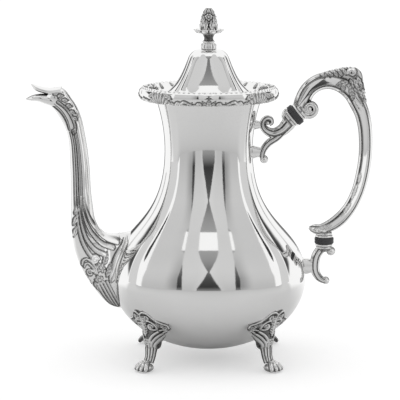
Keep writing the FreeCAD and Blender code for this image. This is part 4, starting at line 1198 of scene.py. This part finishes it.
def heel_patch():
    """Flattened ball under the leg's end, behind the toes."""
    turn = np.linspace(-math.pi, math.pi, 60, endpoint=False)[None]
    tilt = np.linspace(0, math.pi, 30)[:, None]
    (long, wide, tall), (cx, cz) = HEEL_SIZES, HEEL_CENTRE
    x = cx + long * np.sin(tilt) * np.cos(turn)
    y = wide * np.sin(tilt) * np.sin(turn)
    z = np.maximum(cz + tall * np.cos(tilt) * np.ones_like(turn), 0.0)
    # Painted shade: the heel under the leg is darkened evenly.
    return np.stack([x, y, z], 2), 0.3, True


def bloom_patch():
    """Flower on the front of the foot, which curves back towards its edge."""
    turn = full_turn(72)
    out = np.linspace(0, 1, 30)[:, None]
    side, rise = BLOOM_RADIUS * out * np.cos(turn), BLOOM_RADIUS * out * np.sin(turn)
    petal = rosette(side, rise, (0.0, 0.0), BLOOM_RADIUS, 6)
    # Oxide and painted shade between the petals, fading out towards the flower's edge.
    dark = 0.5 * (1 - smooth(0.1, 0.6, petal)) * (1 - smooth(0.6, 0.9, out))
    front = BLOOM_CENTRE[0] + BLOOM_HEIGHT * petal - BLOOM_FALL * out**2
    return np.stack([front, side, BLOOM_CENTRE[1] + rise], 2), dark, True


def foot_patches(depth, azimuth):
    """Cast foot: leafy apron on the body, grooved leg, flower and paw, turned about the body's axis."""
    toes = [toe_patch(angle) for angle in TOE_ANGLES]
    patches = [apron_patch(depth), leg_patch(0.6 * depth), heel_patch(), *toes, bloom_patch()]
    cos, sin = math.cos(azimuth), math.sin(azimuth)
    spin = np.array([[cos, sin, 0], [-sin, cos, 0], [0, 0, 1]])
    return [(points @ spin, oxide_and_shade, wrap) for points, oxide_and_shade, wrap in patches]


# Materials

WHITE = (1.0, 1.0, 1.0, 1.0)
BUMP_HEIGHT = 0.0002


def grey(level):
    """Plain grey colour of a level."""
    return (level, level, level, 1.0)


def feed(tree, node, inputs):
    """Give a node its inputs by name or number: a socket is linked to it, and anything else is set on it."""
    for name, value in inputs.items():
        if isinstance(value, bpy.types.NodeSocket):
            tree.links.new(value, node.inputs[name])
        else:
            node.inputs[name].default_value = value


def add_node(tree, kind, inputs=None, **settings):
    """New shader node of a kind, with its settings and its inputs."""
    node = tree.nodes.new("ShaderNode" + kind)
    for name, value in settings.items():
        setattr(node, name, value)
    feed(tree, node, inputs or {})
    return node


def maths(tree, operation, *values):
    """Socket of a calculation on numbers or sockets."""
    return add_node(tree, "Math", dict(enumerate(values)), operation=operation).outputs[0]


def remap(tree, value, before=(0.0, 1.0), after=(0.0, 1.0)):
    """Socket of a value that is carried from one span to another and held at its ends."""
    spans = {"From Min": before[0], "From Max": before[1], "To Min": after[0], "To Max": after[1]}
    return add_node(tree, "MapRange", {"Value": value, **spans}).outputs["Result"]


def blend(tree, share, first, second):
    """Socket of a colour between two others."""
    return add_node(tree, "Mix", {0: share, 6: first, 7: second}, data_type="RGBA").outputs[2]


def bumped(tree, height, strength):
    """Socket of a normal that follows a height."""
    inputs = {"Strength": strength, "Distance": BUMP_HEIGHT, "Height": height}
    return add_node(tree, "Bump", inputs).outputs["Normal"]


def new_material(name):
    """Material with its node tree and its shader."""
    material = bpy.data.materials.new(name)
    material.use_nodes = True
    return material, material.node_tree, material.node_tree.nodes["Principled BSDF"]


def polish_group():
    """Fine polishing marks and faint cloudiness of worked silver: a mask of cloud and a height of marks."""
    group = bpy.data.node_groups.new("Polish", "ShaderNodeTree")
    for label, value in (("Cloud Scale", 40.0), ("Mark Scale", 900.0)):
        socket = group.interface.new_socket(label, in_out="INPUT", socket_type="NodeSocketFloat")
        socket.default_value = value
    for label in ("Cloud", "Marks"):
        group.interface.new_socket(label, in_out="OUTPUT", socket_type="NodeSocketFloat")
    scale = group.nodes.new("NodeGroupInput").outputs
    place = add_node(group, "TexCoord").outputs["Object"]
    cloud = add_node(group, "TexNoise", {"Vector": place, "Scale": scale["Cloud Scale"], "Detail": 4.0})
    drawn = add_node(group, "Mapping", {"Vector": place, "Scale": (1.0, 1.0, 0.12)}).outputs["Vector"]
    marks = add_node(group, "TexNoise", {"Vector": drawn, "Scale": scale["Mark Scale"], "Detail": 3.0})
    out = group.nodes.new("NodeGroupOutput")
    feed(group, out, {"Cloud": cloud.outputs["Fac"], "Marks": marks.outputs["Fac"]})
    return group


def metal(name, colour, roughness, spread, group, marks=0.02):
    """Principled metal whose roughness and colour drift with the polish group."""
    material, tree, shader = new_material(name)
    polish = add_node(tree, "Group", node_tree=group).outputs
    clouded = (*[c * 0.94 for c in colour], 1)
    inputs = {
        "Metallic": 1.0,
        "Roughness": remap(tree, polish["Cloud"], after=(roughness, roughness + spread)),
        "Base Color": blend(tree, polish["Cloud"], (*colour, 1), clouded),
        "Normal": bumped(tree, polish["Marks"], marks),
    }
    feed(tree, shader, inputs)
    return material


def cast_metal(name, colour, patina_and_shade, group):
    """Silver casting: bright on its crests, darkened by oxide and painted shade where its attribute is high.
    """
    material = metal(name, colour, 0.035, 0.045, group, 0.03)
    tree = material.node_tree
    shader = tree.nodes["Principled BSDF"]
    bright, rough = (shader.inputs[label].links[0].from_socket for label in ("Base Color", "Roughness"))
    place = add_node(tree, "TexCoord").outputs["Object"]
    blotch = add_node(tree, "TexNoise", {"Vector": place, "Scale": 700.0}).outputs["Fac"]
    oxide_and_shade = add_node(tree, "Attribute", attribute_name="oxide_and_shade").outputs["Fac"]
    # Painted shade and oxide: the attribute darkens the base colour towards the patina colour.
    depth = maths(tree, "MULTIPLY", oxide_and_shade, remap(tree, blotch, after=(0.7, 1.15)))
    dull = add_node(tree, "Mix", {0: depth, 2: rough, 3: 0.5}).outputs[0]
    feed(tree, shader, {"Base Color": blend(tree, depth, bright, (*patina_and_shade, 1)), "Roughness": dull})
    return material


def heat_break(name, colour):
    """Black moulded plastic with a fine grain."""
    material, tree, shader = new_material(name)
    place = add_node(tree, "TexCoord").outputs["Object"]
    grain = add_node(tree, "TexNoise", {"Vector": place, "Scale": 1500.0, "Detail": 5.0}).outputs["Fac"]
    inputs = {
        "Base Color": blend(tree, grain, (*colour, 1), (*[c * 2.2 for c in colour], 1)),
        "Roughness": remap(tree, grain, after=(0.38, 0.58)),
        "Normal": bumped(tree, grain, 0.25),
    }
    feed(tree, shader, inputs)
    return material


# Settings and operators

class CoffeePotFinish(bpy.types.PropertyGroup):
    """Colours of the pot's finishes and the depths of its ornament."""

    silver: bpy.props.FloatVectorProperty(
        name="Silver",
        description="Colour of the polished plate",
        subtype="COLOR",
        default=(0.935, 0.933, 0.928),
    )
    # The patina colour paints both the oxide in the hollows and the painted shade of the casting.
    patina_and_shade: bpy.props.FloatVectorProperty(
        name="Patina",
        description="Colour of the oxide left in the recesses",
        subtype="COLOR",
        default=(0.035, 0.034, 0.032),
    )
    plastic: bpy.props.FloatVectorProperty(
        name="Heat break",
        description="Colour of the black heat breaks",
        subtype="COLOR",
        default=(0.022, 0.022, 0.024),
    )
    brass: bpy.props.FloatVectorProperty(
        name="Brass",
        description="Colour of the fittings inside the lid",
        subtype="COLOR",
        default=(0.78, 0.6, 0.3),
    )
    steel: bpy.props.FloatVectorProperty(
        name="Steel",
        description="Colour of the pins",
        subtype="COLOR",
        default=(0.62, 0.62, 0.63),
    )
    crease: bpy.props.FloatProperty(
        name="Crease",
        description="How far the panels' creases are rounded",
        unit="LENGTH",
        default=0.0009,
        min=0.0,
    )
    relief: bpy.props.FloatProperty(
        name="Relief",
        description="Height of the cast ornament",
        unit="LENGTH",
        default=0.0014,
        min=0.0,
    )
    reeding: bpy.props.FloatProperty(
        name="Reeding",
        description="Depth of the grooves along spout and handle",
        unit="LENGTH",
        default=0.0007,
        min=0.0,
    )


class CoffeePotStudio(bpy.types.PropertyGroup):
    """Camera, light and table."""

    distance: bpy.props.FloatProperty(
        name="Distance",
        description="Camera's distance in front of the pot",
        unit="LENGTH",
        default=1.6,
    )
    eye_height: bpy.props.FloatProperty(
        name="Eye height",
        description="Camera's height over the floor",
        unit="LENGTH",
        default=0.3782,
    )
    aim_height: bpy.props.FloatProperty(
        name="Aim height",
        description="Height on the pot that the camera is aimed at",
        unit="LENGTH",
        default=0.1275,
    )
    aim_side: bpy.props.FloatProperty(
        name="Aim side",
        description="Camera's distance to the right of the pot's axis",
        unit="LENGTH",
        default=-0.0068,
    )
    lens: bpy.props.FloatProperty(name="Lens", description="Focal length", unit="CAMERA", default=184.0)
    sky: bpy.props.FloatProperty(
        name="Sky",
        description="Strength of the light from all round",
        default=1.0,
    )
    table_front: bpy.props.FloatProperty(
        name="Table front",
        description="How far the table reaches towards the camera",
        unit="LENGTH",
        default=0.9,
    )
    table_lift: bpy.props.FloatProperty(
        name="Table lift",
        description="Light added to the table where the camera sees it",
        default=0.38,
    )
    edge_slope: bpy.props.FloatProperty(
        name="Edge slope",
        description="Way back over way aside where the dark wedge behind the pot begins",
        default=2.7,
    )


def finish():
    """The finish settings of the scene."""
    return bpy.context.scene.coffee_pot_finish


def shared_material(name):
    """Material by name, made when it is first asked for."""
    label = name + "_look"
    found = bpy.data.materials.get(label)
    if found:
        return found
    polish = bpy.data.node_groups.get("Polish") or polish_group()
    look = finish()
    silver = tuple(look.silver)
    makers = {
        "polished_silver": lambda: metal(label, silver, 0.03, 0.04, polish),
        "cast_silver": lambda: cast_metal(label, silver, tuple(look.patina_and_shade), polish),
        "black_insulator": lambda: heat_break(label, tuple(look.plastic)),
        "steel_pin": lambda: metal(label, tuple(look.steel), 0.22, 0.15, polish, 0.1),
        "brass_fittings": lambda: metal(label, tuple(look.brass), 0.25, 0.15, polish, 0.1),
    }
    return makers[name]()


class PieceOperator:
    """What every operator that builds a piece shares."""

    bl_options = {"REGISTER"}

    def add(self, name, patches, slot, body="pot"):
        """Make one piece that stands for the node of its own name."""
        make_piece(name + "_look", patches, shared_material(slot), body, [name])


class COFFEEPOT_OT_body(PieceOperator, bpy.types.Operator):
    """Panelled pear-shaped body with its lip and inside"""

    bl_idname = "coffee_pot.body"
    bl_label = "Body"

    def execute(self, context):
        self.add("body_shell", body_patches(finish().crease / MM), "polished_silver")
        return {"FINISHED"}


class COFFEEPOT_OT_border(PieceOperator, bpy.types.Operator):
    """Cast border of shells and scrolls round the mouth"""

    bl_idname = "coffee_pot.border"
    bl_label = "Rim border"

    def execute(self, context):
        self.add("rim_border", border_patches(finish().relief / MM), "cast_silver")
        return {"FINISHED"}


class COFFEEPOT_OT_lid(PieceOperator, bpy.types.Operator):
    """Panelled lid on its flange"""

    bl_idname = "coffee_pot.lid"
    bl_label = "Lid"

    def execute(self, context):
        self.add("lid_dome", lid_patches(finish().crease / MM), "polished_silver", "lid")
        return {"FINISHED"}


class COFFEEPOT_OT_finial(PieceOperator, bpy.types.Operator):
    """Fluted collar, stem, leaf plate and leafy bud"""

    bl_idname = "coffee_pot.finial"
    bl_label = "Finial"

    def execute(self, context):
        self.add("finial_collar", collar_patches(), "cast_silver", "lid")
        self.add("finial_stem", stem_patches(), "cast_silver", "lid")
        self.add("finial_leaf_plate", leaf_plate_patches(), "cast_silver", "lid")
        self.add("finial_bud", bud_patches(finish().relief / MM), "cast_silver", "lid")
        return {"FINISHED"}


class COFFEEPOT_OT_spout(PieceOperator, bpy.types.Operator):
    """Swan-neck spout with reeding, flowers and beak"""

    bl_idname = "coffee_pot.spout"
    bl_label = "Spout"

    def execute(self, context):
        look = finish()
        self.add("spout_shell", spout_patches(look.relief / MM, look.reeding / MM), "cast_silver")
        return {"FINISHED"}


class COFFEEPOT_OT_handle(PieceOperator, bpy.types.Operator):
    """Scroll handle, its brackets and the heat breaks between them"""

    bl_idname = "coffee_pot.handle"
    bl_label = "Handle"

    def execute(self, context):
        groove = finish().reeding / MM
        self.add("handle_grip", grip_patches(groove, finish().relief / MM), "cast_silver")
        self.add("upper_bracket", upper_bracket_patches(groove), "cast_silver")
        self.add("lower_bracket", lower_bracket_patches(groove), "cast_silver")
        upper = insulator_patches(UPPER_JOINT, UPPER_SLOPE, UPPER_DISC)
        lower = insulator_patches(LOWER_JOINT, LOWER_SLOPE, LOWER_DISC)
        self.add("upper_insulator", upper, "black_insulator")
        self.add("lower_insulator", lower, "black_insulator")
        return {"FINISHED"}


class COFFEEPOT_OT_feet(PieceOperator, bpy.types.Operator):
    """Four cast feet with leafy aprons and paws"""

    bl_idname = "coffee_pot.feet"
    bl_label = "Feet"

    def execute(self, context):
        names = ["foot_back_right", "foot_back_left", "foot_front_left", "foot_front_right"]
        for index, name in enumerate(names):
            azimuth = math.pi / 4 + index * math.pi / 2
            self.add(name, foot_patches(finish().relief / MM, azimuth), "cast_silver")
        return {"FINISHED"}


class COFFEEPOT_OT_fittings(PieceOperator, bpy.types.Operator):
    """Finishes on the plain fittings that keep their solids"""

    bl_idname = "coffee_pot.fittings"
    bl_label = "Fittings"

    def execute(self, context):
        plain = {
            "base_plate": "polished_silver",
            "lid_bezel": "polished_silver",
            "hinge_body_leaf": "cast_silver",
            "hinge_lid_leaf": "cast_silver",
            "hinge_pin": "steel_pin",
            "handle_pins": "steel_pin",
            "finial_stud": "brass_fittings",
            "finial_washer": "brass_fittings",
            "finial_nut": "brass_fittings",
        }
        for node, slot in plain.items():
            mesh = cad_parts[node].data
            mesh.materials.clear()
            mesh.materials.append(shared_material(slot))
        return {"FINISHED"}


# Stage

# Degrees that the camera looks down by, and the middle of the dome of cards
VIEW_RISE, DOME_CENTRE_Z = 9.0, 0.1

# Table: its reach back and aside, and where mirrors see its painted reflection turn from grey to white and
# into the dark wedge
TABLE_BACK, TABLE_SIDE, TABLE_NEAR = 6.0, 4.0, -0.15
TABLE_WHITENS, TABLE_WEDGE = (0.03, 0.25), (0.0, 0.4)

# Cards: tilt of the polished side that shows them, turn of their left and right edge, glow at left and right
STRIPS = [
    (-16, 5.2, 10.6, 0.6, 0.54),
    (3, 4.8, 10.6, 0.6, 0.54),
    (12, 2.2, 10.7, 0.66, 0.62),
    (21, 0.3, 10.8, 0.7, 0.66),
    (30, 2.6, 11.2, 0.68, 0.66),
    (38, 4.6, 11.2, 0.66, 0.66),
    (42, 4.8, 11.4, 0.64, 0.64),
    (45, 6.5, 12.0, 0.62, 0.62),
    (48, 9.0, 12.2, 0.62, 0.62),
]
FLATS = [
    (-16, 12.6, 27.2, 0.5, 0.52),
    (0, 12.6, 27.2, 0.46, 0.52),
    (5, 12.6, 27.4, 0.3, 0.54),
    (13, 12.5, 27.2, 0.34, 0.6),
    (21, 11.8, 26.4, 0.42, 0.62),
    (29, 11.2, 26.4, 0.46, 0.61),
    (37, 11.2, 26.4, 0.54, 0.6),
    (38.5, 12.8, 26.4, 0.56, 0.6),
    (42, 12.8, 26.4, 0.6, 0.61),
]
CREASES = [
    (29, 29.8, 30.2, 0.2, 0.2),
    (34, 28.8, 34.0, 0.05, 0.05),
    (40, 28.4, 36.0, 0.05, 0.05),
    (42, 28.6, 34.0, 0.05, 0.05),
]
FAR_CREASES = [
    (8, 52.0, 60.0, 0.4, 0.4),
    (22, 51.5, 65.0, 0.08, 0.08),
    (38, 51.5, 68.0, 0.05, 0.05),
    (56, 52.0, 62.0, 0.3, 0.3),
]
SIDES = [
    (-16, 39.0, 50.5, 0.68, 0.68),
    (12, 37.5, 51.0, 0.68, 0.68),
    (30, 40.5, 49.5, 0.68, 0.68),
    (50, 42.0, 48.0, 0.68, 0.68),
]
SIDE_LINES = [(-16, 72.0, 75.0, 0.5, 0.5), (30, 72.0, 74.5, 0.5, 0.5), (48, 72.0, 74.5, 0.5, 0.5)]
EDGES = {
    "left": [
        (6, 84.5, 90.0, 0.4, 0.15),
        (22, 81.5, 90.0, 0.3, 0.08),
        (50, 80.0, 90.0, 0.3, 0.08),
        (66, 76.0, 90.0, 0.4, 0.15),
        (78, 64.0, 90.0, 0.5, 0.2),
    ],
    "right": [
        (6, 85.0, 90.0, 0.6, 0.4),
        (22, 82.5, 90.0, 0.45, 0.2),
        (50, 81.0, 90.0, 0.4, 0.15),
        (66, 76.0, 90.0, 0.4, 0.15),
        (78, 64.0, 90.0, 0.5, 0.2),
    ],
}
ROOM = [
    (-16, -14.0, 14.0, 0.4, 0.4),
    (1, -14.0, 14.0, 0.3, 0.3),
    (5, -14.0, 14.0, 0.04, 0.04),
    (14, -14.0, 14.0, 0.08, 0.08),
    (22, -14.0, 14.0, 0.16, 0.16),
    (30, -14.0, 14.0, 0.28, 0.28),
    (38.5, -14.0, 14.0, 0.36, 0.36),
]

# Cards that stand on both hands: name, rows, distance and softness
CARDS = [
    ("strip_", STRIPS, 2.3, 0.0),
    ("flat_", FLATS, 2.2, 0.0),
    ("crease_", CREASES, 2.4, 0.0),
    ("far_crease_", FAR_CREASES, 2.4, 0.2),
    ("side_", SIDES, 2.4, 0.0),
    ("side_line_", SIDE_LINES, 2.4, 0.3),
]


def dome_card(name, rows, radius, mirror=False, soft=0.0):
    """Glowing card on a dome round the pot, which only mirrors see, laid out by where it shows in a side.

    rows are (tilt of the polished side, turn of the card's left and right edge, glow at left and right), in
    degrees from the camera's side. A point lies where the line of sight goes on from a side that faces that
    way: the line is turned back by twice its share along the side's normal. A soft card fades to white over
    that share of it along each edge.
    """
    tilts, *columns = np.array(rows, float).T
    up = np.linspace(0, 1, 60)
    tilt = tilts[0] + (tilts[-1] - tilts[0]) * up
    left, right, first, last = (np.interp(tilt, tilts, column)[:, None] for column in columns)
    across = np.linspace(0, 1, 24)[None]
    turn = np.radians(left + (right - left) * across) * (-1 if mirror else 1)
    bright = first + (last - first) * smooth(0, 0.4, across)
    if soft:
        inside = [smooth(0, soft, np.minimum(share, 1 - share)) for share in (up[:, None], across)]
        bright = 1 - (1 - bright) * inside[0] * inside[1]
    tilt = np.radians(tilt)[:, None]
    level = np.cos(tilt)
    facing = np.stack([np.sin(turn) * level, -np.cos(turn) * level, np.sin(tilt) * np.ones_like(turn)], 2)
    rise = math.radians(VIEW_RISE)
    sight = np.array([0, -math.cos(rise), math.sin(rise)])
    points = 2 * (facing @ sight)[..., None] * facing - sight
    points = radius * points + [AXIS_X * MM, 0, DOME_CENTRE_Z]
    cells = quads(*turn.shape, 0, False)
    mesh = new_mesh(name, points.reshape(-1, 3), cells, "glow", bright.ravel())
    mesh.materials.append(bpy.data.materials.get("card_glow") or card_glow())
    card = new_object(name, mesh)
    card.visible_camera = False
    card.visible_diffuse = False
    card.visible_shadow = False


def card_glow():
    """Emission as bright as a card's own glow attribute."""
    material, tree, shader = new_material("card_glow")
    tree.nodes.remove(shader)
    bright = add_node(tree, "Attribute", attribute_name="glow").outputs["Fac"]
    light = add_node(tree, "Emission", {"Strength": bright})
    feed(tree, tree.nodes["Material Output"], {"Surface": light.outputs[0]})
    return material


class COFFEEPOT_OT_stage(bpy.types.Operator):
    """Pale table, white surround, cards that only mirrors see, and the camera"""

    bl_idname = "coffee_pot.stage"
    bl_label = "Stage"

    def execute(self, context):
        studio = context.scene.coffee_pot_studio
        self.surround(context.scene, studio.sky)
        self.table(studio)
        dome_card("room", ROOM, 2.5)
        for hand, mirror in (("right", False), ("left", True)):
            for name, rows, radius, soft in CARDS:
                dome_card(name + hand, rows, radius, mirror, soft)
            dome_card("edge_" + hand, EDGES[hand], 2.4, mirror, 0.3)
        self.camera(context.scene, studio)
        context.scene.view_settings.view_transform = "Standard"
        return {"FINISHED"}

    def surround(self, scene, sky):
        """White to the camera and in mirrors, and a soft light for everything else."""
        world = bpy.data.worlds.new("surround")
        world.use_nodes = True
        tree = world.node_tree
        white = tree.nodes["Background"]
        feed(tree, white, {"Color": WHITE, "Strength": 1.0})
        soft = add_node(tree, "Background", {"Color": WHITE, "Strength": sky})
        path = add_node(tree, "LightPath").outputs
        seen = maths(tree, "MAXIMUM", path["Is Camera Ray"], path["Is Glossy Ray"])
        seen = maths(tree, "MAXIMUM", seen, path["Is Transmission Ray"])
        mix = add_node(tree, "MixShader", {0: seen, 1: soft.outputs[0], 2: white.outputs[0]})
        feed(tree, tree.nodes["World Output"], {"Surface": mix.outputs[0]})
        scene.world = world

    def table(self, studio):
        """Pale table top that ends in front of the pot; the camera sees it lifted to white, with its shadow.

        Mirrors see a painted reflection of it: grey in front of the pot and darker towards its front edge,
        white behind it, with a dark wedge further back that draws a line along the pot's edges.
        """
        front, back, side = -studio.table_front, TABLE_BACK, TABLE_SIDE
        points = [(-side, front, 0), (side, front, 0), (side, back, 0), (-side, back, 0)]
        mesh = bpy.data.meshes.new("table")
        mesh.from_pydata(points, [], [(0, 1, 2, 3)])
        material, tree, shader = new_material("table")
        place = add_node(tree, "TexCoord").outputs["Object"]
        parts = add_node(tree, "SeparateXYZ", {0: place}).outputs
        # Painted reflection: tones that only mirrors see, darker towards the table's front edge.
        near = blend(tree, remap(tree, parts["Y"], (front, TABLE_NEAR)), grey(0.5), grey(0.67))
        pale = blend(tree, remap(tree, parts["Y"], TABLE_WHITENS), near, WHITE)
        aside = maths(tree, "ABSOLUTE", parts["X"])
        behind = maths(tree, "MULTIPLY_ADD", aside, -studio.edge_slope, parts["Y"])
        mirrored = blend(tree, remap(tree, behind, TABLE_WEDGE), pale, grey(0.2))
        path = add_node(tree, "LightPath").outputs
        colour = blend(tree, path["Is Glossy Ray"], grey(0.7), mirrored)
        feed(tree, shader, {"Roughness": 0.6, "Specular IOR Level": 0.0, "Base Color": colour})
        lift = maths(tree, "MULTIPLY", path["Is Camera Ray"], studio.table_lift)
        glow = add_node(tree, "Emission", {"Color": WHITE, "Strength": lift})
        both = add_node(tree, "AddShader", {0: shader.outputs[0], 1: glow.outputs[0]})
        feed(tree, tree.nodes["Material Output"], {"Surface": both.outputs[0]})
        mesh.materials.append(material)
        new_object("table", mesh)

    def camera(self, scene, studio):
        """Camera in front of the pot, a little above it and aimed down."""
        data = bpy.data.cameras.new("camera")
        data.lens = studio.lens
        data.sensor_width = 36.0
        camera = new_object("camera", data)
        x = AXIS_X * MM + studio.aim_side
        camera.location = (x, -studio.distance, studio.eye_height)
        pitch = math.atan2(studio.eye_height - studio.aim_height, studio.distance)
        camera.rotation_euler = (math.pi / 2 - pitch, 0, 0)
        scene.camera = camera


class COFFEEPOT_PT_panel(bpy.types.Panel):
    """Sidebar panel with the settings and the pieces"""

    bl_label = "Coffee Pot"
    bl_idname = "COFFEEPOT_PT_panel"
    bl_space_type = "VIEW_3D"
    bl_region_type = "UI"
    bl_category = "Coffee Pot"

    def draw(self, context):
        for settings in (context.scene.coffee_pot_finish, context.scene.coffee_pot_studio):
            for name in settings.__annotations__:
                self.layout.prop(settings, name)
        for operator in OPERATORS:
            self.layout.operator(operator.bl_idname)


OPERATORS = [
    COFFEEPOT_OT_body,
    COFFEEPOT_OT_border,
    COFFEEPOT_OT_lid,
    COFFEEPOT_OT_finial,
    COFFEEPOT_OT_spout,
    COFFEEPOT_OT_handle,
    COFFEEPOT_OT_feet,
    COFFEEPOT_OT_fittings,
    COFFEEPOT_OT_stage,
]
CLASSES = [CoffeePotFinish, CoffeePotStudio, *OPERATORS, COFFEEPOT_PT_panel]


def register():
    """Make the settings, operators and panel known."""
    for cls in CLASSES:
        bpy.utils.register_class(cls)
    bpy.types.Scene.coffee_pot_finish = bpy.props.PointerProperty(type=CoffeePotFinish)
    bpy.types.Scene.coffee_pot_studio = bpy.props.PointerProperty(type=CoffeePotStudio)


def unregister():
    """Take them away again."""
    del bpy.types.Scene.coffee_pot_studio
    del bpy.types.Scene.coffee_pot_finish
    for cls in reversed(CLASSES):
        bpy.utils.unregister_class(cls)


def main():
    """Build every piece in order."""
    register()
    bpy.ops.coffee_pot.body()
    bpy.ops.coffee_pot.border()
    bpy.ops.coffee_pot.lid()
    bpy.ops.coffee_pot.finial()
    bpy.ops.coffee_pot.spout()
    bpy.ops.coffee_pot.handle()
    bpy.ops.coffee_pot.feet()
    bpy.ops.coffee_pot.fittings()
    bpy.ops.coffee_pot.stage()


if __name__ == "__main__":
    main()
